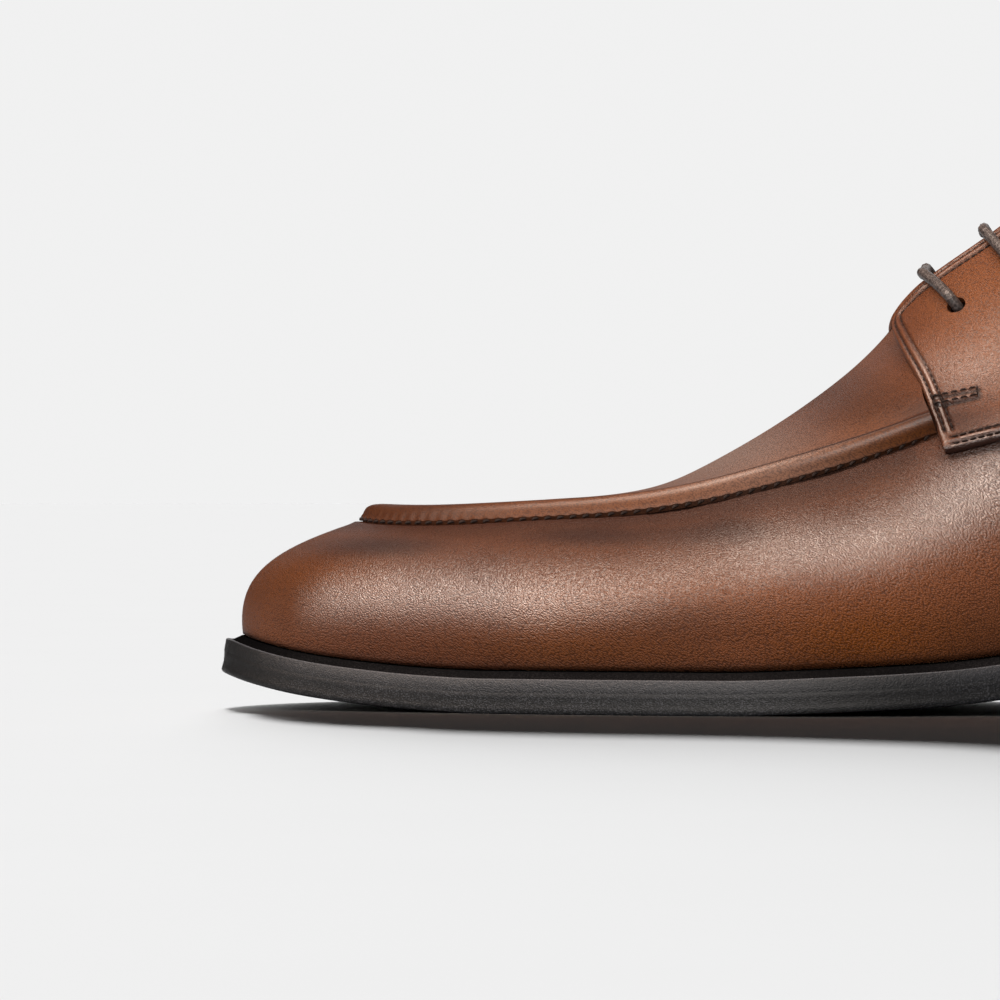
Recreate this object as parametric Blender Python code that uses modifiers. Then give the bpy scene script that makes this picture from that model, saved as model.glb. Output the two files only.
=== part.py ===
"""Leather lace-up shoe with an apron toe: a left shoe, built over one last.

The last is worked out in millimetres. Stations run from the tip of the sole's toe to the back of
the heel, heights from the floor, and sideways the lateral side is negative. An angle runs around
the shoe: 0 at the toe, pi at the heel, lateral side first. A level runs up the upper: 0 at the
feather line, 1 at the middle line (the apron seam in front), 2 at the top line.
"""

import math

import bmesh
import bpy
import numpy as np
from mathutils import Vector

MM = 0.001
GAP = 0.3

# Sole and heel
SHOE_LENGTH = 302.0
OUTSOLE_THICKNESS = 4.0
OUTSOLE_EDGE_ROUND = 0.4
WELT_EDGE = 2.1
WELT_SLOPE = 1.3
WELT_UNDER_UPPER = 4.5
HEEL_BREAST = 226.0
HEEL_BREAST_SLANT = 2.5
HEEL_EDGE_INSET = 0.4
HEEL_TAPER = 1.3
TOP_PIECE_THICKNESS = 6.0
HEEL_COLUMNS = 33

# Upper and what lies on it
UPPER_WALL = 2.0
UPPER_LEVELS = (0.0, 0.16, 0.33, 0.5, 0.7, 0.86, 1.0, 1.25, 1.5, 1.75, 2.0)
OVERLAY_GAP = 0.6
QUARTER_THICKNESS = 1.5
QUARTER_GRID = (36, 10)
FACING_FRONT = 130.0
MEDIAL_SETBACK = 1.6
MEDIAL_SETBACK_SHARE = 0.5
FACING_LIFT = 2.7
FACING_LIFT_REACH = 24.0
FACING_LIFT_FROM = 1.1
FACING_LIFT_FULL = 1.8
APRON_GAP = 0.7
APRON_SIDE_COLUMNS = 21
APRON_INNER_SHARES = (0.2, 0.45, 0.72, 1.0)
TONGUE_THICKNESS = 2.0
TONGUE_CLEARANCE = 1.0
TONGUE_STATIONS = (118.0, 124.0, 130.0, 135.0, 140.0, 146.0, 153.0, 160.0, 167.0)
TONGUE_LEVELS = (1.5, 1.66, 1.82, 1.96)
TONGUE_CROWN = 0.12
TONGUE_RISE = (14.0, 0.0, 16.0)
TONGUE_TIP_ROWS = ((0.3, 0.9), (0.65, 0.78), (1.0, 0.6))
INSOLE_CLEARANCE = 0.8
INSOLE_FLANGE = 1.6

# Lace and its punched holes
EYELET_PAIRS = 4
EYELET_FIRST = 138.5
EYELET_STEP = 9.9
EYELET_FROM_EDGE = 12.0
EYELET_RADIUS = 1.8
EYELET_SIDES = 10
EYELET_ROD = 14.0
LACE_RADIUS = 1.05
LACE_ARCH = -0.6
LACE_SLANT = 2.8
LACE_SIDE_POINTS = 4

# Plan of the sole: middle line and half width at each station
OUTLINE_COLUMNS = ("station", "middle", "half_width")
OUTLINE_ROWS = (
    (0.0, 5.0, 0.0),
    (3.0, 4.8, 11.2),
    (10.0, 4.1, 19.8),
    (22.0, 2.8, 28.2),
    (42.0, 1.0, 37.6),
    (66.0, -0.9, 45.2),
    (92.0, -2.6, 50.8),
    (115.0, -4.6, 51.3),
    (140.0, -6.6, 44.6),
    (165.0, -7.0, 36.6),
    (190.0, -5.3, 32.6),
    (215.0, -3.0, 32.0),
    (245.0, -0.8, 33.2),
    (270.0, 0.0, 32.4),
    (288.0, 0.2, 26.4),
    (302.0, 0.0, 0.0),
)

# Underside of the sole seen from the side: toe spring, flat tread, arch and heel seat
UNDERSIDE_COLUMNS = ("station", "height")
UNDERSIDE_ROWS = (
    (0.0, 6.55),
    (6.0, 4.75),
    (15.0, 2.85),
    (27.0, 1.35),
    (40.0, 0.35),
    (50.0, 0.0),
    (92.0, 0.0),
    (113.0, 0.7),
    (134.0, 1.8),
    (150.0, 3.7),
    (175.0, 8.6),
    (200.0, 14.0),
    (225.0, 18.6),
    (245.0, 20.6),
    (270.0, 21.8),
    (302.0, 22.5),
)

# Lower half of each section of the last, from the feather line to the middle line.
# Lean and rise are the wall's angles at its foot and at the middle line, in degrees.
WALL_COLUMNS = ("station", "overhang", "lean", "foot_pull", "mid_station", "mid_lateral",
                "mid_medial", "mid_height", "rise", "mid_pull")
WALL_ROWS = (
    (0.0, 1.7, 6.7, 0.38, 26.8, 4.2, 4.2, 35.2, 18.0, 0.55),
    (5.0, 1.9, 7.5, 0.38, 28.2, -2.7, 10.9, 34.9, 19.0, 0.55),
    (16.0, 2.5, 10.0, 0.38, 32.6, -9.9, 17.2, 34.6, 21.0, 0.54),
    (34.0, 3.2, 14.0, 0.39, 42.5, -17.8, 23.6, 34.6, 25.0, 0.53),
    (58.0, 3.7, 17.0, 0.40, 60.8, -24.8, 28.2, 35.4, 28.0, 0.50),
    (84.0, 3.8, 18.0, 0.40, 85.0, -29.4, 30.2, 37.6, 33.0, 0.48),
    (108.0, 3.9, 17.0, 0.39, 108.5, -31.4, 29.4, 43.0, 43.0, 0.45),
    (126.0, 4.0, 15.0, 0.37, 127.0, -31.6, 27.0, 48.8, 54.0, 0.41),
    (136.0, 4.0, 14.0, 0.36, 136.5, -31.8, 26.0, 52.2, 60.0, 0.39),
    (152.0, 4.0, 13.0, 0.35, 151.5, -32.6, 25.8, 56.0, 66.0, 0.36),
    (174.0, 3.9, 12.0, 0.34, 172.5, -33.2, 26.6, 60.0, 74.0, 0.34),
    (188.0, 3.8, 11.0, 0.34, 186.5, -33.2, 27.4, 60.5, 78.0, 0.34),
    (208.0, 3.7, 11.0, 0.34, 206.5, -32.8, 28.4, 60.0, 82.0, 0.34),
    (240.0, 3.6, 10.0, 0.34, 240.0, -31.6, 29.8, 58.0, 85.0, 0.34),
    (272.0, 3.5, 10.0, 0.34, 272.0, -28.0, 28.2, 58.0, 85.0, 0.34),
    (293.0, 3.4, 10.0, 0.34, 291.6, -16.0, 16.2, 58.0, 85.0, 0.34),
    (302.0, 3.3, 10.0, 0.34, 298.6, 0.0, 0.0, 58.0, 85.0, 0.34),
)

# Upper half of each section, from the middle line to the crest, throat edge or collar.
# A half gap below zero means that the two sides meet on the crest.
TOP_COLUMNS = ("station", "top_station", "top_middle", "top_half", "top_height", "plug_rise", "crown")
TOP_ROWS = (
    (0.0, 42.0, 3.5, 0.0, 35.7, 4.0, 0.0),
    (5.0, 43.0, 3.4, -2.5, 35.75, 4.5, 0.0),
    (16.0, 46.5, 3.2, -5.0, 35.9, 5.5, 1.0),
    (34.0, 54.0, 2.9, -7.0, 36.3, 7.0, 2.0),
    (58.0, 66.5, 2.4, -7.5, 37.3, 9.0, 2.0),
    (84.0, 86.0, 2.0, -6.5, 41.0, 15.0, 1.0),
    (108.0, 108.0, 1.5, -4.0, 52.7, 35.0, 0.0),
    (126.0, 126.0, 1.0, -0.8, 67.1, 52.0, 8.0),
    (136.0, 134.0, 0.7, 6.4, 76.6, 58.0, 34.0),
    (152.0, 148.0, 0.2, 7.0, 89.4, 65.0, 40.0),
    (174.0, 170.5, -0.3, 9.0, 107.3, 74.0, 50.0),
    (188.0, 180.0, -0.6, 14.5, 108.6, 78.0, 64.0),
    (208.0, 201.0, -1.2, 26.3, 95.5, 82.0, 82.0),
    (240.0, 240.0, -0.8, 29.2, 79.5, 85.0, 88.0),
    (272.0, 272.5, 0.0, 25.8, 83.0, 85.0, 88.0),
    (293.0, 290.8, 0.0, 13.8, 90.0, 85.0, 86.0),
    (302.0, 296.4, 0.0, 0.0, 92.0, 85.0, 86.0),
)
PLUG_PULL = 0.34

# Edges of a quarter, front to back: its upper edge runs up the facing's front, round the corner
# and along throat and collar, and its lower edge sweeps down to the feather line
QUARTER_COLUMNS = ("share", "upper_station", "upper_level", "lower_station", "lower_level")
QUARTER_ROWS = (
    (0.00, 133.2, 0.94, 133.7, 0.90),
    (0.08, 131.2, 1.28, 138.0, 0.895),
    (0.16, 129.8, 1.60, 143.0, 0.895),
    (0.20, 129.9, 1.77, 146.0, 0.895),
    (0.24, 131.2, 1.90, 149.0, 0.89),
    (0.28, 134.5, 1.97, 153.0, 0.87),
    (0.32, 138.5, 1.99, 158.0, 0.83),
    (0.44, 158.0, 1.99, 178.0, 0.56),
    (0.56, 182.0, 1.99, 196.0, 0.28),
    (0.66, 212.0, 1.99, 213.0, 0.05),
    (0.80, 258.0, 1.99, 258.0, 0.03),
    (0.90, 288.0, 1.99, 288.0, 0.03),
    (1.00, 301.995, 1.99, 301.995, 0.03),
)

# Where the apron stops at each level, just in front of the facings
APRON_BACK_COLUMNS = ("level", "station")
APRON_BACK_ROWS = (
    (1.0, 132.6),
    (1.3, 130.8),
    (1.6, 129.4),
    (1.8, 128.4),
    (2.0, 126.8),
)

# Height of the apron over the upper, from its sewn rim inwards: the raised ridge
RIDGE_COLUMNS = ("inward", "height")
RIDGE_ROWS = (
    (0.0, 1.1),
    (0.6, 2.2),
    (1.7, 2.7),
    (3.0, 2.2),
    (4.6, 1.3),
    (60.0, 1.3),
)

# Sections around the shoe, and steps for slopes worked out from two near points
FRONT_END = 122.0
FRONT_COLUMNS = 18
THROAT_STATIONS = (126.5, 129.0, 131.0, 133.5, 137.0, 142.0)
BACK_START = 150.0
BACK_COLUMNS = 17
OUTLINE_SAMPLES = 721
CURVE_SAMPLES = 200
ANGLE_STEP = 0.001
LEVEL_STEP = 0.002
SLOPE_STEP = 0.5
UPRIGHT = 90.0

SHARP_ANGLE = 40.0
BROWN_LEATHER = ((0.22, 0.085, 0.030), 0.38)
LINING_LEATHER = ((0.45, 0.28, 0.15), 0.60)
BLACK_EDGE = ((0.018, 0.017, 0.017), 0.45)
DARK_LACE = ((0.045, 0.022, 0.015), 0.60)


def column(columns, rows, name):
    """One named column of a table."""
    place = columns.index(name)
    return np.array([row[place] for row in rows], dtype=float)


def monotone(knots, values):
    """A curve through the points that never overshoots them."""
    steps = np.diff(knots)
    slopes = np.diff(values) / steps
    tangents = np.zeros(len(knots))
    tangents[0], tangents[-1] = slopes[0], slopes[-1]
    for i in range(1, len(knots) - 1):
        if slopes[i - 1] * slopes[i] > 0.0:
            before = 2.0 * steps[i] + steps[i - 1]
            after = steps[i] + 2.0 * steps[i - 1]
            tangents[i] = (before + after) / (before / slopes[i - 1] + after / slopes[i])

    def curve(at):
        at = np.clip(at, knots[0], knots[-1])
        i = np.clip(np.searchsorted(knots, at) - 1, 0, len(steps) - 1)
        t = (at - knots[i]) / steps[i]
        rise = (3.0 - 2.0 * t) * t * t
        start = t * (1.0 - t) ** 2 * steps[i] * tangents[i]
        end = t * t * (t - 1.0) * steps[i] * tangents[i + 1]
        return values[i] * (1.0 - rise) + values[i + 1] * rise + start + end

    return curve


def loop_spline(knots, values):
    """A smooth closed curve over one turn of the angle, through the points."""
    count = len(knots)
    steps = np.diff(np.append(knots, knots[0] + 2.0 * math.pi))
    slopes = (np.roll(values, -1) - values) / steps
    system = np.zeros((count, count))
    for i in range(count):
        system[i, i - 1] += steps[i - 1]
        system[i, i] += 2.0 * (steps[i - 1] + steps[i])
        system[i, (i + 1) % count] += steps[i]
    bends = np.linalg.solve(system, 6.0 * (slopes - np.roll(slopes, 1)))

    def curve(angle):
        angle = np.mod(angle, 2.0 * math.pi)
        i = np.searchsorted(knots, angle, side="right") - 1
        after = (i + 1) % count
        t = angle - knots[i]
        rest = steps[i] - t
        line = (values[i] / steps[i] - bends[i] * steps[i] / 6.0) * rest
        line = line + (values[after] / steps[i] - bends[after] * steps[i] / 6.0) * t
        return line + (bends[i] * rest ** 3 + bends[after] * t ** 3) / (6.0 * steps[i])

    return curve


def angle_at(station):
    """Angle of a station on the lateral side."""
    return np.arccos(1.0 - 2.0 * np.asarray(station, dtype=float) / SHOE_LENGTH)


def around(stations, lateral, medial):
    """A closed curve over the angle from values on the two sides, toe and heel shared."""
    angles = angle_at(stations)
    knots = np.concatenate([angles, 2.0 * math.pi - angles[-2:0:-1]])
    return loop_spline(knots, np.concatenate([lateral, medial[-2:0:-1]]))


def table_curve(columns, rows, name):
    """A column that is the same on both sides, as a curve over the angle."""
    values = column(columns, rows, name)
    return around(column(columns, rows, "station"), values, values)


OUTLINE_STATIONS = column(OUTLINE_COLUMNS, OUTLINE_ROWS, "station")
OUTLINE_MIDDLE = column(OUTLINE_COLUMNS, OUTLINE_ROWS, "middle")
OUTLINE_HALF = column(OUTLINE_COLUMNS, OUTLINE_ROWS, "half_width")
outline_side = around(OUTLINE_STATIONS, OUTLINE_MIDDLE - OUTLINE_HALF, OUTLINE_MIDDLE + OUTLINE_HALF)

underside = monotone(column(UNDERSIDE_COLUMNS, UNDERSIDE_ROWS, "station"),
                     column(UNDERSIDE_COLUMNS, UNDERSIDE_ROWS, "height"))

WALL = {name: table_curve(WALL_COLUMNS, WALL_ROWS, name) for name in WALL_COLUMNS}
mid_side = around(column(WALL_COLUMNS, WALL_ROWS, "station"),
                  column(WALL_COLUMNS, WALL_ROWS, "mid_lateral"),
                  column(WALL_COLUMNS, WALL_ROWS, "mid_medial"))

TOP = {name: table_curve(TOP_COLUMNS, TOP_ROWS, name) for name in TOP_COLUMNS}
TOP_MIDDLE = column(TOP_COLUMNS, TOP_ROWS, "top_middle")
TOP_HALF = column(TOP_COLUMNS, TOP_ROWS, "top_half")
top_side = around(column(TOP_COLUMNS, TOP_ROWS, "station"), TOP_MIDDLE - TOP_HALF, TOP_MIDDLE + TOP_HALF)

ridge_height = monotone(column(RIDGE_COLUMNS, RIDGE_ROWS, "inward"),
                        column(RIDGE_COLUMNS, RIDGE_ROWS, "height"))


def points(along, side, height):
    """Coordinates as one array of points."""
    return np.stack(np.broadcast_arrays(along, side, height), axis=-1).astype(float)


def unit(vectors):
    """Vectors of length one."""
    return vectors / np.linalg.norm(vectors, axis=-1, keepdims=True)


def outline_inset(angle, inset):
    """Station and side of the sole's outline, moved inwards, and the direction inwards."""
    half = SHOE_LENGTH / 2.0
    along = half * (1.0 - np.cos(angle))
    run = half * np.sin(angle)
    slip = (outline_side(angle + ANGLE_STEP) - outline_side(angle - ANGLE_STEP)) / (2.0 * ANGLE_STEP)
    length = np.hypot(run, slip)
    inward_along = -slip / length
    inward_side = run / length
    side = outline_side(angle) + inset * inward_side
    return along + inset * inward_along, side, inward_along, inward_side


def sole_point(along, side, height):
    """A point at a height over the underside, square to the sole's slope."""
    slope = (underside(along + SLOPE_STEP) - underside(along - SLOPE_STEP)) / (2.0 * SLOPE_STEP)
    level = np.sqrt(1.0 + slope ** 2)
    return points(along - height * slope / level, side, underside(along) + height / level)


FEATHER_HEIGHT = OUTSOLE_THICKNESS + GAP + WELT_EDGE + WELT_SLOPE + GAP


def bezier(start, start_pull, end_pull, end, t):
    """Cubic curve between two points."""
    t = np.asarray(t)[..., None]
    rest = 1.0 - t
    near = rest ** 3 * start + 3.0 * rest ** 2 * t * start_pull
    return near + 3.0 * rest * t ** 2 * end_pull + t ** 3 * end


def tilted(inward, degrees):
    """A direction tilted up from the horizontal direction inwards."""
    turn = np.radians(degrees)[..., None]
    return inward * np.cos(turn) + np.array((0.0, 0.0, 1.0)) * np.sin(turn)


def top_line(angle):
    """Crest, throat edge and collar."""
    middle = TOP["top_middle"](angle)
    side = top_side(angle)
    lateral = np.mod(angle, 2.0 * math.pi) < math.pi
    in_front = TOP["top_station"](angle) < SHOE_LENGTH / 2.0
    clipped = np.where(lateral, np.minimum(side, middle), np.maximum(side, middle))
    return points(TOP["top_station"](angle), np.where(in_front, clipped, side), TOP["top_height"](angle))


def last_surface(angle, level):
    """A point on the outside of the upper."""
    angle, level = np.broadcast_arrays(np.asarray(angle, float), np.asarray(level, float))
    along, side, inward_along, inward_side = outline_inset(angle, WALL["overhang"](angle))
    inward = points(inward_along, inward_side, 0.0)
    foot = sole_point(along, side, FEATHER_HEIGHT)
    middle = points(WALL["mid_station"](angle), mid_side(angle), WALL["mid_height"](angle))
    top = top_line(angle)
    wall_length = np.linalg.norm(middle - foot, axis=-1)
    foot_reach = (wall_length * WALL["foot_pull"](angle))[..., None]
    mid_reach = (wall_length * WALL["mid_pull"](angle))[..., None]
    foot_pull = foot + tilted(inward, UPRIGHT + WALL["lean"](angle)) * foot_reach
    mid_pull = middle - tilted(inward, WALL["rise"](angle)) * mid_reach
    wall = bezier(foot, foot_pull, mid_pull, middle, np.clip(level, 0.0, 1.0))
    across = unit((top - middle) * np.array((1.0, 1.0, 0.0)))
    plug_length = np.linalg.norm(top - middle, axis=-1, keepdims=True) * PLUG_PULL
    plug_start = middle + tilted(across, TOP["plug_rise"](angle)) * plug_length
    plug_end = top - tilted(across, TOP["crown"](angle)) * plug_length
    plug = bezier(middle, plug_start, plug_end, top, np.clip(level - 1.0, 0.0, 1.0))
    return np.where((level <= 1.0)[..., None], wall, plug)


def outward(angle, level):
    """Direction square to the upper, pointing out."""
    step = LEVEL_STEP
    level = np.asarray(level, float)
    low = np.where(level > 1.0, np.maximum(level - step, 1.0 + step), np.maximum(level - step, 0.0))
    high = np.where(level <= 1.0, np.minimum(low + 2.0 * step, 1.0), np.minimum(low + 2.0 * step, 2.0))
    low = high - 2.0 * step
    middle = (low + high) / 2.0
    run = last_surface(angle + step, middle) - last_surface(angle - step, middle)
    rise = last_surface(angle, high) - last_surface(angle, low)
    return unit(np.cross(run, rise))


def over_upper(angle, level, height):
    """A point at a height over the upper."""
    height = np.asarray(height, float)[..., None]
    return last_surface(angle, level) + outward(angle, level) * height


def mirrored(angle):
    """The angle of the same station on the other side."""
    return 2.0 * math.pi - angle


def side_columns():
    """Angles of the sections on the lateral side, toe to heel, closer at the throat."""
    front = np.linspace(0.0, float(angle_at(FRONT_END)), FRONT_COLUMNS)
    back = np.linspace(float(angle_at(BACK_START)), math.pi, BACK_COLUMNS)
    return np.concatenate([front, angle_at(THROAT_STATIONS), back])


def full_loop():
    """Angles of the sections all around."""
    side = side_columns()
    return np.concatenate([side, mirrored(side[-2:0:-1])])


def new_object(name, vertices, faces, material, place):
    """A mesh object in the part's frame, from points in millimetres."""
    mesh = bpy.data.meshes.new(name)
    mesh.from_pydata([tuple(point * MM) for point in np.asarray(vertices)], [], faces)
    mesh.update()
    mesh.shade_smooth()
    mesh.set_sharp_from_angle(angle=math.radians(SHARP_ANGLE))
    mesh.materials.append(material)
    piece = bpy.data.objects.new(name, mesh)
    place_object(piece, place)
    return piece


def place_object(piece, place):
    """Put an object in its collection, on the empty that carries the shoe."""
    piece.parent = place["frame"]
    place["collection"].objects.link(piece)


def grid_faces(columns, rows, closed=False):
    """Faces of a grid whose points run up each column in turn."""
    faces = []
    for i in range(columns if closed else columns - 1):
        after = (i + 1) % columns
        for j in range(rows - 1):
            faces.append((i * rows + j, after * rows + j, after * rows + j + 1, i * rows + j + 1))
    return faces


def join_crest(grid, faces, pairs):
    """Let the two sides share their points where they meet on the crest."""
    merged = {}
    for keep, drop in pairs:
        if np.linalg.norm(grid[keep] - grid[drop]) < GAP:
            merged[drop] = keep
    kept = [i for i in range(len(grid)) if i not in merged]
    number = {old: new for new, old in enumerate(kept)}
    joined = [tuple(number[merged.get(corner, corner)] for corner in face) for face in faces]
    return kept, joined


def shell_between(lower, upper, faces):
    """Points and faces of a closed solid between two surfaces with the same faces."""
    count = len(lower)
    edges = {}
    for face in faces:
        for first, second in zip(face, face[1:] + face[:1]):
            edges[(first, second)] = True
    solid = [tuple(reversed(face)) for face in faces]
    solid += [tuple(count + corner for corner in face) for face in faces]
    for first, second in edges:
        if (second, first) not in edges:
            solid.append((first, second, count + second, count + first))
    return np.concatenate([lower, upper]), solid


def strip_cap(count, partner, start, flip):
    """Faces across a ring of points, from each point to its partner on the other side."""
    faces = []
    for i in range(count // 2):
        corners = list(dict.fromkeys((i, i + 1, partner(i + 1), partner(i))))
        if flip:
            corners.reverse()
        faces.append(tuple(start + corner for corner in corners))
    return faces


def plate(name, rings, partner, material, place):
    """A closed solid through rings of points, lowest first, capped below and above."""
    count = len(rings[0])
    faces = []
    for k in range(len(rings) - 1):
        low, high = k * count, (k + 1) * count
        for i in range(count):
            after = (i + 1) % count
            faces.append((low + i, low + after, high + after, high + i))
    faces += strip_cap(count, partner, 0, True)
    faces += strip_cap(count, partner, (len(rings) - 1) * count, False)
    return new_object(name, np.concatenate(rings), faces, material, place)


def solidify(piece, thickness, offset):
    """Give an open surface its thickness: outwards with offset 1, inwards with offset -1."""
    shell = piece.modifiers.new("thickness", "SOLIDIFY")
    shell.thickness = thickness * MM
    shell.offset = offset
    shell.use_even_offset = True
    shell.use_quality_normals = True


def punch(piece, cutter):
    """Cut the lace holes."""
    hole = piece.modifiers.new("lace_holes", "BOOLEAN")
    hole.operation = "DIFFERENCE"
    hole.solver = "EXACT"
    hole.object = cutter


def make_upper(material, place):
    """The hollow wall over the last: open at collar and throat, and underneath."""
    angles = full_loop()
    columns, rows = len(angles), len(UPPER_LEVELS)
    grid = last_surface(angles[:, None], np.array(UPPER_LEVELS)[None, :]).reshape(-1, 3)
    top = rows - 1
    pairs = [(i * rows + top, (columns - i) * rows + top) for i in range(1, columns // 2)]
    kept, faces = join_crest(grid, grid_faces(columns, rows, closed=True), pairs)
    upper = new_object("upper", grid[kept], faces, material, place)
    solidify(upper, UPPER_WALL, -1.0)
    return upper


def facing_lift(angle, level):
    """How far the front of the facing stands off the vamp."""
    behind = last_surface(angle, level)[..., 0] - FACING_FRONT
    along = np.clip(1.0 - behind / FACING_LIFT_REACH, 0.0, 1.0)
    up = np.clip((level - FACING_LIFT_FROM) / (FACING_LIFT_FULL - FACING_LIFT_FROM), 0.0, 1.0)
    return FACING_LIFT * along ** 2 * (3.0 - 2.0 * along) * up ** 2 * (3.0 - 2.0 * up)


def quarter_grid(columns, rows, setback):
    """Angles and levels of a quarter's points, as on the lateral side, its front set back."""
    knots = column(QUARTER_COLUMNS, QUARTER_ROWS, "share")
    values = {name: column(QUARTER_COLUMNS, QUARTER_ROWS, name) for name in QUARTER_COLUMNS}
    share = np.linspace(0.0, 1.0, columns)[:, None]
    up = np.linspace(0.0, 1.0, rows)[None, :]
    shift = setback * np.clip(1.0 - knots / MEDIAL_SETBACK_SHARE, 0.0, 1.0)
    low_angle = monotone(knots, angle_at(values["lower_station"] + shift))(share)
    high_angle = monotone(knots, angle_at(values["upper_station"] + shift))(share)
    low_level = monotone(knots, values["lower_level"])(share)
    high_level = monotone(knots, values["upper_level"])(share)
    return low_angle + (high_angle - low_angle) * up, low_level + (high_level - low_level) * up


def make_quarter(name, medial, material, place):
    """A lace quarter, laid over the upper from the facing back to the heel seam."""
    columns, rows = QUARTER_GRID
    angle, level = quarter_grid(columns, rows, MEDIAL_SETBACK if medial else 0.0)
    height = OVERLAY_GAP + facing_lift(angle, level)
    turned = mirrored(angle) if medial else angle
    grid = over_upper(turned, level, height).reshape(-1, 3)
    faces = grid_faces(columns, rows)
    if medial:
        faces = [tuple(reversed(face)) for face in faces]
    quarter = new_object(name, grid, faces, material, place)
    solidify(quarter, QUARTER_THICKNESS, 1.0)
    return quarter


def make_apron(material, place):
    """The plug over toe and vamp, with its sewn rim raised as a ridge."""
    back = monotone(column(APRON_BACK_COLUMNS, APRON_BACK_ROWS, "level"),
                    column(APRON_BACK_COLUMNS, APRON_BACK_ROWS, "station"))
    ridge = column(RIDGE_COLUMNS, RIDGE_ROWS, "inward")[:-1]
    half = APRON_SIDE_COLUMNS
    columns, rows = 2 * half + 1, len(ridge) + len(APRON_INNER_SHARES)
    lower, upper = [], []
    for share in np.linspace(-1.0, 1.0, columns):
        rim_angle = share * angle_at(back(1.0))
        reach = np.linalg.norm(last_surface(rim_angle, 2.0) - last_surface(rim_angle, 1.0))
        rest = ridge[-1] + (reach - ridge[-1]) * np.array(APRON_INNER_SHARES)
        inward = np.concatenate([ridge, rest])
        level = 1.0 + inward / reach
        angle = share * angle_at(back(level))
        lower.append(over_upper(angle, level, APRON_GAP))
        upper.append(over_upper(angle, level, APRON_GAP + ridge_height(inward)))
    lower, upper = np.concatenate(lower), np.concatenate(upper)
    top = rows - 1
    pairs = [((half + i) * rows + top, (half - i) * rows + top) for i in range(1, half + 1)]
    kept, faces = join_crest(lower, grid_faces(columns, rows), pairs)
    vertices, solid = shell_between(lower[kept], upper[kept], faces)
    return new_object("apron", vertices, solid, material, place)


def make_tongue(material, place):
    """The tongue: under the vamp at its front, between and under the facings, and up to its tip."""
    depth = UPPER_WALL + TONGUE_CLEARANCE
    sections = []
    for angle in angle_at(TONGUE_STATIONS):
        levels = np.array(TONGUE_LEVELS)
        lateral = over_upper(np.full(len(levels), angle), levels, -depth)
        medial = over_upper(np.full(len(levels), mirrored(angle)), levels, -depth)
        middle = (lateral[-1] + medial[-1]) / 2.0
        middle[2] += TONGUE_CROWN * abs(lateral[-1][1] - medial[-1][1])
        sections.append(np.concatenate([lateral, middle[None, :], medial[::-1]]))
    rise = np.array(TONGUE_RISE)
    for share, narrower in TONGUE_TIP_ROWS:
        tip = sections[len(TONGUE_STATIONS) - 1] + rise * share
        centre = tip[len(tip) // 2][1]
        tip[:, 1] = centre + (tip[:, 1] - centre) * narrower
        sections.append(tip)
    faces = grid_faces(len(sections), len(sections[0]))
    tongue = new_object("tongue", np.concatenate(sections), faces, material, place)
    solidify(tongue, TONGUE_THICKNESS, -1.0)
    return tongue


def sole_ring(angles, inset, height):
    """A ring of points along the sole's outline."""
    along, side, _, _ = outline_inset(angles, inset)
    return sole_point(along, side, height)


def other_side(count):
    """Partner of each point in a ring that goes all around."""
    return lambda i: (-i) % count


def make_outsole(material, place):
    """The outsole: toe spring, flat tread, arch and heel seat, with a rounded lower edge."""
    angles = full_loop()
    rings = [
        sole_ring(angles, OUTSOLE_EDGE_ROUND, 0.0),
        sole_ring(angles, 0.0, OUTSOLE_EDGE_ROUND),
        sole_ring(angles, 0.0, OUTSOLE_THICKNESS),
    ]
    return plate("outsole", rings, other_side(len(angles)), material, place)


def make_welt(material, place):
    """The welt: a strip all around, sloping up to the feather line."""
    angles = full_loop()
    overhang = WALL["overhang"](angles)
    bottom = OUTSOLE_THICKNESS + GAP
    edge = bottom + WELT_EDGE
    seat = edge + WELT_SLOPE
    inner = overhang + WELT_UNDER_UPPER
    loop = [
        sole_ring(angles, inner, bottom),
        sole_ring(angles, 0.0, bottom),
        sole_ring(angles, 0.0, edge),
        sole_ring(angles, overhang, seat),
        sole_ring(angles, inner, seat),
    ]
    vertices = np.stack(loop, axis=1).reshape(-1, 3)
    rows = len(loop)
    faces = grid_faces(len(angles), rows, closed=True)
    for i in range(len(angles)):
        after = (i + 1) % len(angles)
        faces.append((i * rows + rows - 1, after * rows + rows - 1, after * rows, i * rows))
    return new_object("welt", vertices, faces, material, place)


def make_insole(material, place):
    """The insole: it fills the welt and spreads over it to the upper's wall."""
    angles = full_loop()
    overhang = WALL["overhang"](angles)
    inside_welt = overhang + WELT_UNDER_UPPER + GAP
    inside_wall = overhang + UPPER_WALL + INSOLE_CLEARANCE
    rings = [
        sole_ring(angles, inside_welt, OUTSOLE_THICKNESS + GAP),
        sole_ring(angles, inside_welt, FEATHER_HEIGHT),
        sole_ring(angles, inside_wall, FEATHER_HEIGHT),
        sole_ring(angles, inside_wall, FEATHER_HEIGHT + INSOLE_FLANGE),
    ]
    return plate("insole", rings, other_side(len(angles)), material, place)


def heel_ring(breast, inset, height):
    """A ring around the heel from its breast; a height of None follows the outsole."""
    start = float(angle_at(breast))
    angles = np.linspace(start, 2.0 * math.pi - start, HEEL_COLUMNS)
    along, side, _, _ = outline_inset(angles, inset)
    return points(along, side, underside(along) - GAP if height is None else height)


def make_heel(material, place):
    """The stacked heel under the heel seat."""
    rings = [
        heel_ring(HEEL_BREAST + HEEL_BREAST_SLANT, HEEL_EDGE_INSET + HEEL_TAPER, TOP_PIECE_THICKNESS + GAP),
        heel_ring(HEEL_BREAST, HEEL_EDGE_INSET, None),
    ]
    return plate("heel", rings, lambda i: HEEL_COLUMNS - 1 - i, material, place)


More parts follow.
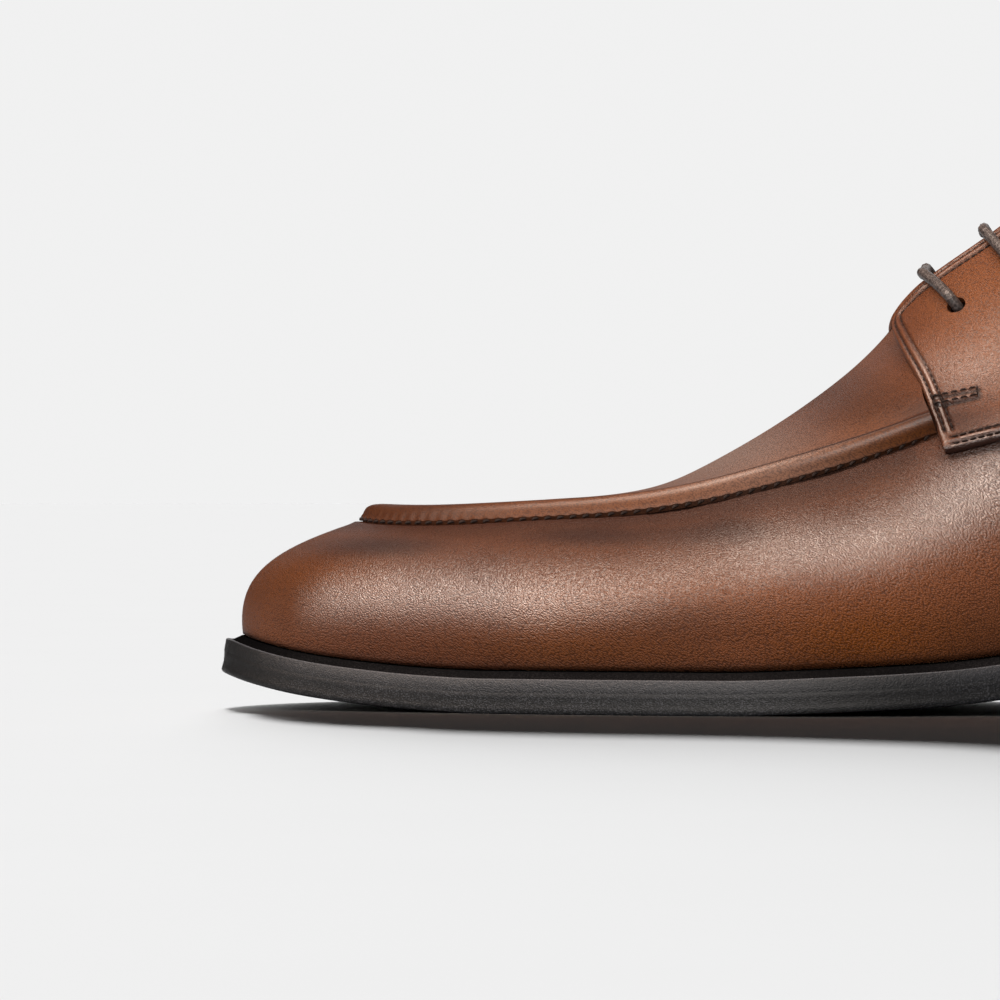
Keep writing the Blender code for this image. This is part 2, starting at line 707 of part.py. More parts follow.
def make_top_piece(material, place):
    """The wearing layer under the heel."""
    inset = HEEL_EDGE_INSET + HEEL_TAPER
    breast = HEEL_BREAST + HEEL_BREAST_SLANT
    rings = [
        heel_ring(breast, inset + OUTSOLE_EDGE_ROUND, 0.0),
        heel_ring(breast, inset, OUTSOLE_EDGE_ROUND),
        heel_ring(breast, inset, TOP_PIECE_THICKNESS),
    ]
    return plate("heel_top_piece", rings, lambda i: HEEL_COLUMNS - 1 - i, material, place)


def eyelet(pair, medial):
    """Angle and level of a lace hole."""
    last_station = EYELET_FIRST + EYELET_PAIRS * EYELET_STEP
    angles = angle_at(np.linspace(EYELET_FIRST - EYELET_STEP, last_station, CURVE_SAMPLES))
    station = EYELET_FIRST + pair * EYELET_STEP + (MEDIAL_SETBACK if medial else 0.0)
    angle = float(np.interp(station, TOP["top_station"](angles), angles))
    angle = mirrored(angle) if medial else angle
    reach = float(np.linalg.norm(last_surface(angle, 2.0) - last_surface(angle, 1.0)))
    return angle, 2.0 - EYELET_FROM_EDGE / reach


def make_hole_cutter(place):
    """Rods through both quarters and the upper at each lace hole."""
    holes = bmesh.new()
    for pair in range(EYELET_PAIRS):
        for medial in (False, True):
            angle, level = eyelet(pair, medial)
            axis = Vector(outward(angle, level))
            rod = axis.to_track_quat("Z", "Y").to_matrix().to_4x4()
            rod.translation = Vector(last_surface(angle, level)) * MM
            bmesh.ops.create_cone(holes, cap_ends=True, segments=EYELET_SIDES, radius1=EYELET_RADIUS * MM,
                                  radius2=EYELET_RADIUS * MM, depth=EYELET_ROD * MM, matrix=rod)
    mesh = bpy.data.meshes.new("lace_hole_rods")
    holes.to_mesh(mesh)
    holes.free()
    cutter = bpy.data.objects.new("lace_hole_rods", mesh)
    cutter.hide_render = True
    cutter.display_type = "WIRE"
    cutter.parent = place["frame"]
    place["cutters"].objects.link(cutter)
    return cutter


def lace_side(pair, medial):
    """Middle line of a lace bar from its hole up to the facing's edge."""
    angle, hole_level = eyelet(pair, medial)
    edge_level = column(QUARTER_COLUMNS, QUARTER_ROWS, "upper_level")[-1]
    levels = np.linspace(hole_level, edge_level, LACE_SIDE_POINTS)
    forward = np.linspace(0.0, LACE_SLANT, LACE_SIDE_POINTS)
    angles = angle - forward / (SHOE_LENGTH / 2.0 * math.sin(angle))
    height = OVERLAY_GAP + facing_lift(angles, levels) + QUARTER_THICKNESS + GAP + LACE_RADIUS
    return over_upper(angles, levels, height)


def lace_route(pair):
    """Middle line of a lace bar, from hole to hole over the two facings."""
    lateral, medial = lace_side(pair, False), lace_side(pair, True)
    middle = (lateral[-1] + medial[-1]) / 2.0 + np.array((0.0, 0.0, LACE_ARCH))
    return np.concatenate([lateral, middle[None, :], medial[::-1]])


def make_lace_bar(pair, material, place):
    """One straight bar of the round lace."""
    name = "lace_bar_{}".format(pair + 1)
    curve = bpy.data.curves.new(name, "CURVE")
    curve.dimensions = "3D"
    curve.bevel_depth = LACE_RADIUS * MM
    curve.bevel_resolution = 2
    curve.use_fill_caps = True
    route = lace_route(pair)
    spline = curve.splines.new("POLY")
    spline.points.add(len(route) - 1)
    for target, point in zip(spline.points, route):
        target.co = (*(point * MM), 1.0)
    curve.materials.append(material)
    bar = bpy.data.objects.new(name, curve)
    place_object(bar, place)
    return bar


def new_material(name, look):
    """A Principled material with a colour and a roughness."""
    colour, roughness = look
    material = bpy.data.materials.new(name)
    material.use_nodes = True
    shader = material.node_tree.nodes["Principled BSDF"]
    shader.inputs["Base Color"].default_value = (*colour, 1.0)
    shader.inputs["Roughness"].default_value = roughness
    shader.inputs["Metallic"].default_value = 0.0
    return material


def clear_scene():
    """Remove every object of the scene."""
    for piece in list(bpy.data.objects):
        bpy.data.objects.remove(piece, do_unlink=True)


def new_place():
    """Collections for the parts and the cutters, and the empty that centres the shoe."""
    collection = bpy.data.collections.new("leather_shoe")
    cutters = bpy.data.collections.new("leather_shoe_cutters")
    for group in (collection, cutters):
        bpy.context.scene.collection.children.link(group)
    side = outline_side(np.linspace(0.0, 2.0 * math.pi, OUTLINE_SAMPLES))
    frame = bpy.data.objects.new("shoe_frame", None)
    frame.location = (-SHOE_LENGTH / 2.0 * MM, -(side.min() + side.max()) / 2.0 * MM, 0.0)
    collection.objects.link(frame)
    return {"collection": collection, "cutters": cutters, "frame": frame}


def main():
    clear_scene()
    place = new_place()
    brown = new_material("brown_leather", BROWN_LEATHER)
    lining = new_material("lining_leather", LINING_LEATHER)
    black = new_material("black_sole", BLACK_EDGE)
    lace = new_material("dark_lace", DARK_LACE)
    cutter = make_hole_cutter(place)
    punch(make_upper(brown, place), cutter)
    for name, medial in (("quarter_lateral", False), ("quarter_medial", True)):
        punch(make_quarter(name, medial, brown, place), cutter)
    make_apron(brown, place)
    make_tongue(brown, place)
    make_insole(lining, place)
    make_welt(black, place)
    make_outsole(black, place)
    make_heel(black, place)
    make_top_piece(black, place)
    for pair in range(EYELET_PAIRS):
        make_lace_bar(pair, lace, place)
    bpy.context.view_layer.update()


main()
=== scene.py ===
"""Leather lace-up shoe, dressed for the render: leather, seams, sole edge, laces and stage.

Laid out as an add-on and run as a script. The last is worked out as in the part's source, in
millimetres. Stations run from the tip of the sole's toe to the back of the heel, heights from the
floor, and sideways the lateral side is negative. An angle runs around the shoe: 0 at the toe, pi at
the heel, lateral side first. A level runs up the upper: 0 at the feather line, 1 at the middle line
(the apron seam in front), 2 at the top line.
"""

import math

import bmesh
import bpy
import numpy as np
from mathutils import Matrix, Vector
from mathutils.kdtree import KDTree


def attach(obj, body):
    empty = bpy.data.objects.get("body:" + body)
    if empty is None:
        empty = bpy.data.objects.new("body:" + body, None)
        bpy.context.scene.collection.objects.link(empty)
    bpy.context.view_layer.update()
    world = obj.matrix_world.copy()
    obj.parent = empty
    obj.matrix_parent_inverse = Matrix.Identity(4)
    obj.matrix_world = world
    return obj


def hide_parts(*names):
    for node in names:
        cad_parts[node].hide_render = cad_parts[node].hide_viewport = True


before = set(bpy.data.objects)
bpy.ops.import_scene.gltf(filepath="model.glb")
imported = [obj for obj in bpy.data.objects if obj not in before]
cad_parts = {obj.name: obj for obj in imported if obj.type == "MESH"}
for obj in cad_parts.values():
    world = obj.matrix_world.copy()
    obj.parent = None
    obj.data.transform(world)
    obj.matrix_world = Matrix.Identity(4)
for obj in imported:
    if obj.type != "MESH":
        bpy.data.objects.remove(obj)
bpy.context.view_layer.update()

bl_info = {
    "name": "Leather lace-up shoe",
    "version": (1, 0, 0),
    "blender": (4, 5, 0),
    "location": "View3D > Sidebar > Shoe",
    "description": "Dresses the shoe's solids in leather, seams, sole edge and laces",
    "category": "Object",
}

MM = 0.001
TURN = 2.0 * math.pi
UP = np.array((0.0, 0.0, 1.0))
LEVEL = np.array((1.0, 1.0, 0.0))
GAP = 0.3

# Sole and heel
SHOE_LENGTH = 302.0
OUTSOLE_THICKNESS = 4.0
WELT_EDGE = 2.1
WELT_SLOPE = 1.3
WELT_UNDER_UPPER = 4.5
HEEL_BREAST = 226.0
HEEL_BREAST_SLANT = 2.5
HEEL_EDGE_INSET = 0.4
HEEL_TAPER = 1.3
TOP_PIECE_THICKNESS = 6.0

# Upper and what lies on it
UPPER_WALL = 2.0
OVERLAY_GAP = 0.6
QUARTER_THICKNESS = 1.5
FACING_FRONT = 130.0
MEDIAL_SETBACK = 1.6
MEDIAL_SETBACK_SHARE = 0.5
FACING_LIFT = 2.7
FACING_LIFT_REACH = 24.0
FACING_LIFT_FROM = 1.1
FACING_LIFT_FULL = 1.8
APRON_GAP = 0.7
TONGUE_THICKNESS = 2.0
TONGUE_CLEARANCE = 1.0
TONGUE_STATIONS = (118.0, 124.0, 130.0, 135.0, 140.0, 146.0, 153.0, 160.0, 167.0)
TONGUE_LEVELS = (1.5, 1.66, 1.82, 1.96)
TONGUE_CROWN = 0.12
TONGUE_RISE = (14.0, 0.0, 16.0)
TONGUE_TIP_ROWS = ((0.3, 0.9), (0.65, 0.78), (1.0, 0.6))
INSOLE_CLEARANCE = 0.8
INSOLE_FLANGE = 1.6

# Lace and its punched holes
EYELET_PAIRS = 4
EYELET_FIRST = 138.5
EYELET_STEP = 9.9
EYELET_FROM_EDGE = 12.0
EYELET_RADIUS = 1.8
EYELET_ROD = 14.0
LACE_RADIUS = 1.05
LACE_ARCH = -0.6
LACE_SLANT = 2.8

# Plan of the sole: middle line and half width at each station
OUTLINE_COLUMNS = ("station", "middle", "half_width")
OUTLINE_ROWS = (
    (0.0, 5.0, 0.0),
    (3.0, 4.8, 11.2),
    (10.0, 4.1, 19.8),
    (22.0, 2.8, 28.2),
    (42.0, 1.0, 37.6),
    (66.0, -0.9, 45.2),
    (92.0, -2.6, 50.8),
    (115.0, -4.6, 51.3),
    (140.0, -6.6, 44.6),
    (165.0, -7.0, 36.6),
    (190.0, -5.3, 32.6),
    (215.0, -3.0, 32.0),
    (245.0, -0.8, 33.2),
    (270.0, 0.0, 32.4),
    (288.0, 0.2, 26.4),
    (302.0, 0.0, 0.0),
)

# Underside of the sole seen from the side: toe spring, flat tread, arch and heel seat
UNDERSIDE_COLUMNS = ("station", "height")
UNDERSIDE_ROWS = (
    (0.0, 6.55),
    (6.0, 4.75),
    (15.0, 2.85),
    (27.0, 1.35),
    (40.0, 0.35),
    (50.0, 0.0),
    (92.0, 0.0),
    (113.0, 0.7),
    (134.0, 1.8),
    (150.0, 3.7),
    (175.0, 8.6),
    (200.0, 14.0),
    (225.0, 18.6),
    (245.0, 20.6),
    (270.0, 21.8),
    (302.0, 22.5),
)

# Lower half of each section of the last, from the feather line to the middle line.
# Lean and rise are the wall's angles at its foot and at the middle line, in degrees.
WALL_COLUMNS = ("station", "overhang", "lean", "foot_pull", "mid_station", "mid_lateral",
                "mid_medial", "mid_height", "rise", "mid_pull")
WALL_ROWS = (
    (0.0, 1.7, 6.7, 0.38, 26.8, 4.2, 4.2, 35.2, 18.0, 0.55),
    (5.0, 1.9, 7.5, 0.38, 28.2, -2.7, 10.9, 34.9, 19.0, 0.55),
    (16.0, 2.5, 10.0, 0.38, 32.6, -9.9, 17.2, 34.6, 21.0, 0.54),
    (34.0, 3.2, 14.0, 0.39, 42.5, -17.8, 23.6, 34.6, 25.0, 0.53),
    (58.0, 3.7, 17.0, 0.40, 60.8, -24.8, 28.2, 35.4, 28.0, 0.50),
    (84.0, 3.8, 18.0, 0.40, 85.0, -29.4, 30.2, 37.6, 33.0, 0.48),
    (108.0, 3.9, 17.0, 0.39, 108.5, -31.4, 29.4, 43.0, 43.0, 0.45),
    (126.0, 4.0, 15.0, 0.37, 127.0, -31.6, 27.0, 48.8, 54.0, 0.41),
    (136.0, 4.0, 14.0, 0.36, 136.5, -31.8, 26.0, 52.2, 60.0, 0.39),
    (152.0, 4.0, 13.0, 0.35, 151.5, -32.6, 25.8, 56.0, 66.0, 0.36),
    (174.0, 3.9, 12.0, 0.34, 172.5, -33.2, 26.6, 60.0, 74.0, 0.34),
    (188.0, 3.8, 11.0, 0.34, 186.5, -33.2, 27.4, 60.5, 78.0, 0.34),
    (208.0, 3.7, 11.0, 0.34, 206.5, -32.8, 28.4, 60.0, 82.0, 0.34),
    (240.0, 3.6, 10.0, 0.34, 240.0, -31.6, 29.8, 58.0, 85.0, 0.34),
    (272.0, 3.5, 10.0, 0.34, 272.0, -28.0, 28.2, 58.0, 85.0, 0.34),
    (293.0, 3.4, 10.0, 0.34, 291.6, -16.0, 16.2, 58.0, 85.0, 0.34),
    (302.0, 3.3, 10.0, 0.34, 298.6, 0.0, 0.0, 58.0, 85.0, 0.34),
)

# Upper half of each section, from the middle line to the crest, throat edge or collar.
# A half gap below zero means that the two sides meet on the crest.
TOP_COLUMNS = ("station", "top_station", "top_middle", "top_half", "top_height", "plug_rise", "crown")
TOP_ROWS = (
    (0.0, 42.0, 3.5, 0.0, 35.7, 4.0, 0.0),
    (5.0, 43.0, 3.4, -2.5, 35.75, 4.5, 0.0),
    (16.0, 46.5, 3.2, -5.0, 35.9, 5.5, 1.0),
    (34.0, 54.0, 2.9, -7.0, 36.3, 7.0, 2.0),
    (58.0, 66.5, 2.4, -7.5, 37.3, 9.0, 2.0),
    (84.0, 86.0, 2.0, -6.5, 41.0, 15.0, 1.0),
    (108.0, 108.0, 1.5, -4.0, 52.7, 35.0, 0.0),
    (126.0, 126.0, 1.0, -0.8, 67.1, 52.0, 8.0),
    (136.0, 134.0, 0.7, 6.4, 76.6, 58.0, 34.0),
    (152.0, 148.0, 0.2, 7.0, 89.4, 65.0, 40.0),
    (174.0, 170.5, -0.3, 9.0, 107.3, 74.0, 50.0),
    (188.0, 180.0, -0.6, 14.5, 108.6, 78.0, 64.0),
    (208.0, 201.0, -1.2, 26.3, 95.5, 82.0, 82.0),
    (240.0, 240.0, -0.8, 29.2, 79.5, 85.0, 88.0),
    (272.0, 272.5, 0.0, 25.8, 83.0, 85.0, 88.0),
    (293.0, 290.8, 0.0, 13.8, 90.0, 85.0, 86.0),
    (302.0, 296.4, 0.0, 0.0, 92.0, 85.0, 86.0),
)
PLUG_PULL = 0.34

# Edges of a quarter, front to back: its upper edge runs up the facing's front, round the corner
# and along throat and collar, and its lower edge sweeps down to the feather line
QUARTER_COLUMNS = ("share", "upper_station", "upper_level", "lower_station", "lower_level")
QUARTER_ROWS = (
    (0.00, 133.2, 0.94, 133.7, 0.90),
    (0.08, 131.2, 1.28, 138.0, 0.895),
    (0.16, 129.8, 1.60, 143.0, 0.895),
    (0.20, 129.9, 1.77, 146.0, 0.895),
    (0.24, 131.2, 1.90, 149.0, 0.89),
    (0.28, 134.5, 1.97, 153.0, 0.87),
    (0.32, 138.5, 1.99, 158.0, 0.83),
    (0.44, 158.0, 1.99, 178.0, 0.56),
    (0.56, 182.0, 1.99, 196.0, 0.28),
    (0.66, 212.0, 1.99, 213.0, 0.05),
    (0.80, 258.0, 1.99, 258.0, 0.03),
    (0.90, 288.0, 1.99, 288.0, 0.03),
    (1.00, 301.995, 1.99, 301.995, 0.03),
)

# Where the apron stops at each level, just in front of the facings
APRON_BACK_COLUMNS = ("level", "station")
APRON_BACK_ROWS = (
    (1.0, 132.6),
    (1.3, 130.8),
    (1.6, 129.4),
    (1.8, 128.4),
    (2.0, 126.8),
)

# Height of the apron over the upper, from its sewn rim inwards: the raised ridge
RIDGE_COLUMNS = ("inward", "height")
RIDGE_ROWS = (
    (0.0, 0.1),
    (0.5, 0.8),
    (1.1, 1.55),
    (1.9, 2.25),
    (2.7, 2.6),
    (3.3, 2.35),
    (3.8, 1.6),
    (4.3, 1.3),
    (60.0, 1.3),
)

# Samples along curves, and steps for slopes worked out from two near points
OUTLINE_SAMPLES = 721
CURVE_SAMPLES = 200
ANGLE_STEP = 0.001
LEVEL_STEP = 0.002
SLOPE_STEP = 0.5
UPRIGHT = 90.0

SHARP_ANGLE = 40.0

# Leather: fineness of its meshes, creases, seams and sewn rows
UPPER_COLUMNS = 480
WALL_LEVELS = 40
PLUG_LEVELS = 24
PATH_STEP = 0.2
SPOT_ROUNDS = 8
SEAM_END = 136.0
SEAM_PITCH = 2.4
SEAM_DIP = 0.28
SEAM_DIP_WIDTH = 0.6
SEAM_PUCKER = 0.12
SEAM_LIP = 0.18
SEAM_LIP_FROM = 1.5
SEAM_LIP_WIDTH = 0.5
SEAM_STITCH_HEIGHT = 0.35
SEAM_STITCH_LENGTH = 1.7
SEAM_STITCH_LEAN = 0.5
SEAM_STITCH_SHORT = 4.0
SEAM_STITCH_FACE = 0.97
SEAM_FADE = (SEAM_END - 8.0, SEAM_END - 3.0)
# Painted shade on the upper: along the apron seam, in the crevice at the foot of the wall and over its upper
# part and plug
SEAM_SHADE_ROWS = ((0.75, 0.5), (0.8, 11.0))
FOOT_SHADE = 0.5
FOOT_SHADE_WIDTH = 1.4
UPPER_SHADE = 0.48
UPPER_SHADE_LEVELS = (0.3, 0.75)
CREASE_LEVELS = (0.0, 0.15)
JOIN_UPPER = 0.05
JOIN_APRON = 0.02
APRON_HALF = 330
APRON_INNER_ROWS = 26
APRON_TUCK = 4.0
APRON_TIP_FROM = 45.0
APRON_TIP_TO = 70.0
APRON_TIP_LEVELS = (1.4, 1.9)
APRON_TIP_REACH = (4.5, 9.0)
APRON_TUCK_LEVELS = (1.2, 1.6)
APRON_SEAT = 0.15
APRON_SKIRT = 0.6
APRON_SKIRT_WIDTH = 1.5
# Painted shade on the apron: at its sewn rim, as a shadow line behind the crest of its ridge, and over the
# ridge and the slope behind it; it is also darker over the plug and at its nose
APRON_RIM_SHADE = 0.6
APRON_RIM_WIDTH = 0.3
APRON_GROOVE_SHADE = 0.95
APRON_GROOVE = (2.85, 0.5)
APRON_SLOPE_SHADE = 0.68
APRON_SLOPE_ENDS = (3.5, 9.0)
APRON_SLOPE_FADE = 0.75
APRON_SLOPE_SHARES = (0.4, 0.75)
APRON_PLUG_SHADE = 0.3
APRON_PLUG_FROM = 3.0
APRON_NOSE_SHADE = 0.85
APRON_NOSE_WIDTH = 0.05
APRON_NOSE_ENDS = (1.5, 3.5)
APRON_AMBER = (1.0, 1.4)
APRON_AMBER_FRONT = 0.6
APRON_AMBER_SHARES = (0.35, 0.9)
APRON_POLISH = (1.7, 0.5)
APRON_POLISH_FRONT = 0.06
APRON_POLISH_MORE = 0.14
APRON_POLISH_SHARES = (0.35, 0.6)
APRON_SLEEK = 0.85
RIDGE_WIDTH = 5.0
RIDGE_ROWS_FINE = 26
RIDGE_LOW_SHARE = 0.22
RIDGE_LOW = 0.34
RIDGE_STEEP_SHARE = 0.3
RIDGE_STEEP = 1.2
RIDGE_PINCH = 0.22
RIDGE_PINCH_FROM = 0.3
RIDGE_PINCH_TO = 1.3
QUARTER_COLUMNS_FINE = 300
QUARTER_RIM = 4.2
QUARTER_RIM_ROWS = 15
QUARTER_INNER_ROWS = 84
QUARTER_BACK_LENGTH = 320.0
QUARTER_ROUND = 0.9
QUARTER_EDGE_SHARE = 0.15
QUARTER_RIM_MOST = 0.45
# Painted shade on the quarters: in the sewn rows and along the lower edge; darker along the upper edge
QUARTER_ROW_SHADE = 0.9
QUARTER_LOWER_SHADE = 0.8
QUARTER_LOWER_WIDTH = 1.2
QUARTER_UPPER_SHADE = 0.5
QUARTER_UPPER_WIDTH = 0.3
QUARTER_ROLL_SHARE = 0.55
QUARTER_ROLL_WIDTH = 0.35
QUARTER_ROLL_POLISH = 0.22
QUARTER_SLEEK = 0.3
QUARTER_ROLL_SLEEK = 0.5
EDGE_SAMPLES = 1200
ROW_INSETS = (1.25, 2.75)
ROW_EDGES = (("upper", 0.01, 0.998), ("lower", 0.03, 0.655))
ROW_GROOVE = 0.32
ROW_GROOVE_WIDTH = 0.36
ROW_PUFF = 0.2
ROW_PUFF_WIDTH = 0.5
ROW_SMOOTH = 31
ROW_SMOOTH_ROUNDS = 2
TACK_FROM = (133.2, 56.8)
TACK_TO = (141.3, 58.8)
TACK_ROWS = (0.0, -1.3)
TACK_HOLLOW = 0.5
TACK_FADE = 0.4
TACK_ENDS = (-0.05, 0.05, 1.0, 1.1)
TACK_HOLLOW_ENDS = (-0.3, 0.3, 1.2, 2.4)
TACK_HOLLOW_BELOW = (0.5, 3.0, 5.0, 9.0)
TONGUE_SMOOTH = 2
STITCH_SIDES = 6
STITCH_PROFILE = ((-0.5, 0.3, 0.9), (-0.38, 0.85, 0.35), (-0.15, 1.0, 0.0),
                  (0.15, 1.0, 0.0), (0.38, 0.85, 0.35), (0.5, 0.3, 0.9))

# Sole edge: insets and heights of its trimmed corners
SOLE_COLUMNS = 360
SOLE_FINENESS = 8
SOLE_UNDER_FACING = -0.75
OUTSOLE_EDGE = ((0.4, 0.0), (0.15, 0.1), (0.0, 0.4), (0.05, 1.2), (0.1, 2.0), (0.05, 3.0),
                (0.0, 3.9), (0.04, 4.0), (0.4, 4.0))
EDGE_HEIGHT = OUTSOLE_THICKNESS + GAP + WELT_EDGE
WELT_COLUMNS = 1800
WELT_SEAT_GAP = 0.05
WELT_FOOT = ((0.4, -0.2), (-0.02, -0.15), (-0.02, 0.2))
WELT_LIP = ((0.0, 0.25), (0.1, 0.05), (0.35, 0.0))
WELT_SLOPE_SHARES = (0.15, 0.35, 0.55, 0.75, 0.9, 1.0)
WELT_WHEEL_STEP = 4
WELT_WHEEL_DEPTH = 0.18
# Stations along the sole edge where it is painted darker as shade, and how strongly
EDGE_SHADE_STATIONS = (0.0, 8.0, 16.0, 30.0, 98.0, 111.0, 127.0, 139.0)
EDGE_SHADE_SHARES = (0.9, 0.8, 0.35, 0.1, 0.0, 0.5, 0.6, 0.1)
INSOLE_RIM = ((0.0, 0.5), (0.15, 0.15), (0.5, 0.0))
HEEL_COLUMNS = 97
HEEL_LIFTS = 4
HEEL_LIFT_ROWS = 8
HEEL_LINE = 0.22
HEEL_LINE_WIDTH = 0.06
HEEL_SEAT_GAP = 0.05
HEEL_FOOT_GAP = 0.05
TOP_PIECE_EDGE = ((0.4, 0.0), (0.12, 0.12), (0.0, 0.4), (0.0, 5.7), (0.1, 5.95), (0.4, 6.0))

# Lace
HOLE_SIDES = 24
LACE_GROOVE = 0.10
LACE_STRANDS = 8
LACE_TWIST = 3.0
LACE_PARTING = 0.5
LACE_STEPS = 12
LACE_CROSSING = (0.1, 0.3, 0.5, 0.7, 0.9)
LACE_SIDES = 24
LACE_RISE_SHARES = (-0.05, 0.0, 0.12, 0.35, 0.65, 1.0)
LACE_HEIGHTS = (-4.0, -1.6, 0.1, 0.15, 0.1, 0.1)

# Stage, in metres
SENSOR = 36.0
WHITE = (1.0, 1.0, 1.0)
FLOOR_REACH = 60.0
FLOOR_LIGHT_COLUMNS = ("name", "share", "height", "softness")
FLOOR_LIGHT_ROWS = (
    ("floor_light", 0.66, 1.0, math.radians(5.0)),
    ("floor_glow", 0.34, 0.5, math.radians(18.0)),
)
SHOE_MIDDLE = (-0.07, 0.0, 0.03)
SOFTBOX_COLUMNS = ("name", "first", "last", "count", "wide", "high", "power", "colour")
SOFTBOX_ROWS = (
    ("overhead_strip", (0.15, -0.25, 1.05), (-1.5, -0.5, 0.95), 4, 0.5, 0.65, 11.5, (1.0, 0.80, 0.67)),
    ("backdrop_glow", (0.2, 2.0, 1.15), (0.2, 2.0, 1.15), 1, 2.4, 0.9, 8.0, WHITE),
    ("front_fill", (-0.3, -1.6, 0.5), (-0.3, -1.6, 0.5), 1, 1.6, 0.6, 22.0, (1.0, 0.95, 0.9)),
)

# Leather's look: sizes of its noise in millimetres, drawn out along slanting rows for the grain
CLOUD_SIZE = 26.0
CLOUD_STEP = (0.36, 0.66)
MOTTLE_SIZE = 1.1
MOTTLE_SPAN = 0.5
MOTTLE_DARK = 0.55
WAVE_SIZE = 9.0
WAVE_DEPTH = 0.10
GRAIN_TURN = (0.0, 34.0, 0.0)
GRAIN_STRETCH = (3.0, 1.5, 0.9)
GRAIN_TWIST = 0.3
GRAIN_SHARE = 0.35
GRAIN_ROUGH = 0.10
PORE_STRETCH = (2.5, 1.7, 1.3)
PORE_STEP = (0.40, 0.75)
# How much darker the pores are painted, as shade in the hollows of the grain
PORE_DARK = 0.5
GREY_ROUGH = 0.10

# Look of the sole's edges: flecks, broad clouds, the paler top and lip as a painted highlight, and painted
# shade
FLECK_STRETCH = 1.5
FLECK_STEP = (0.50, 0.64)
FLECK_ROUGH = 0.3
BROAD_SIZE = (9.0, 6.0, 2.5)
BROAD_STEP = (0.35, 0.75)
BROAD_SHARE = 0.4
LIP_STEP = (0.95, 0.99)
LIP_RISE = (0.35, 0.95)
LIP_SHARE = 0.5
EDGE_SHADE_DARK = 0.3
EDGE_GRAIN_SIZE = 0.9
EDGE_GRAIN_SHARE = 0.8

# Roughness, depth of the grain and gloss of each edge
OUTSOLE_FINISH = (0.46, 0.07, 0.3)
WELT_FINISH = (0.44, 0.11, 0.3)
WELT_TOP_FINISH = (0.7, 0.10, 0.0)
HEEL_FINISH = (0.46, 0.06, 0.3)

# Plain looks: sizes of their noise, where one colour turns into the other, roughness and relief
LINING_CLOUD = 18.0
LINING_STEP = (0.3, 0.7)
LINING_GRAIN = (1.6, 0.06)
LINING_PORES = (0.8, 0.03)
LINING_ROUGH = (0.55, 0.12)
STREAK_SIZE = (14.0, 2.2, 2.2)
STREAK_STEP = (0.52, 0.78)
STREAK_DEPTH = 0.06
STREAK_ROUGH = (0.5, 0.2)
TREAD_GRAIN = (0.7, 0.05)
SEAM_TWIST = 0.5
ROW_TWIST = 0.4
THREAD_STEP = (0.35, 0.7)
THREAD_PALER = 1.9
THREAD_ROUGH = (0.7, 0.2)
THREAD_SPECULAR = 0.15
THREAD_DEPTH = 0.05
LACE_FLECK = (0.5, 0.06)
LACE_STRAND = (0.35, 0.08)
LACE_STEP = (0.30, 0.62)
# How much darker the lace is painted in the grooves between its strands, as shade
LACE_GROOVE_DARK = 0.35
LACE_ROUGH = (0.42, 0.25)
LACE_COAT = 0.2
RUBBER_GRAIN = (0.5, 0.05)
RUBBER_STEP = (0.4, 0.8)
RUBBER_ROUGH = (0.62, 0.15)
DUST_SIZE = 60.0
DUST_SHADE = 0.985
FLOOR_ROUGH = 0.9

# Patches of colour on the leather: middle, reach and strength
PATCH_COLUMNS = ("station", "height", "along", "up", "strength")
AMBER_ROWS = (
    (11.0, 26.0, 13.0, 9.0, 0.95),
    (26.0, 30.0, 10.0, 5.0, 0.5),
    (118.0, 13.5, 18.0, 6.0, 1.0),
    (66.0, 13.0, 22.0, 4.5, 0.55),
    (121.0, 57.0, 9.0, 9.0, 0.3),
    (146.0, 72.0, 14.0, 16.0, 0.55),
    (104.0, 44.0, 14.0, 4.0, 0.6),
    (122.0, 51.0, 9.0, 5.0, 0.4),
    (88.0, 24.0, 24.0, 9.0, 0.5),
    (124.0, 29.0, 14.0, 9.0, 0.5),
)
# Darker patches: painted shade, joined with the painted shade at seams and edges
DARK_ROWS = (
    (136.0, 53.5, 9.0, 3.5, 0.6),
    (98.0, 33.0, 16.0, 5.0, 0.35),
    (10.0, 24.0, 14.0, 8.0, 0.45),
    (86.0, 17.0, 18.0, 5.0, 0.4),
    (118.0, 57.0, 14.0, 9.0, 0.6),
    (31.0, 30.5, 16.0, 3.2, 0.85),
    (68.0, 32.6, 20.0, 3.5, 0.85),
    (95.0, 34.8, 12.0, 4.0, 0.4),
)
# Painted grey sheen on top of the vamp, standing in for the backdrop's reflection
PAINTED_SHEEN_ROWS = (
    (84.0, 47.0, 26.0, 7.0, 0.9),
)
SHINE_ROWS = (
    (138.0, 62.5, 9.0, 5.0, 0.3),
    (150.0, 68.0, 9.0, 7.0, 0.25),
)

# Band of the side wall that is polished brightest: its middle line, reach and strength
POLISH_INDEX = 1.75
POLISH_COLUMNS = ("station", "height", "reach", "strength")
POLISH_ROWS = (
    (14.0, 19.0, 3.5, 0.0),
    (22.0, 21.4, 4.2, 0.75),
    (31.0, 22.5, 4.6, 0.95),
    (44.0, 22.5, 4.8, 0.82),
    (60.0, 21.6, 5.0, 0.84),
    (75.0, 23.2, 5.0, 0.55),
    (90.0, 27.0, 5.0, 0.5),
    (104.0, 29.8, 5.0, 0.85),
    (117.0, 31.0, 5.2, 0.85),
    (126.0, 33.5, 6.0, 0.75),
    (137.0, 39.0, 7.0, 0.95),
    (150.0, 46.0, 8.0, 0.8),
    (180.0, 50.0, 12.0, 0.6),
    (302.0, 46.0, 14.0, 0.6),
)

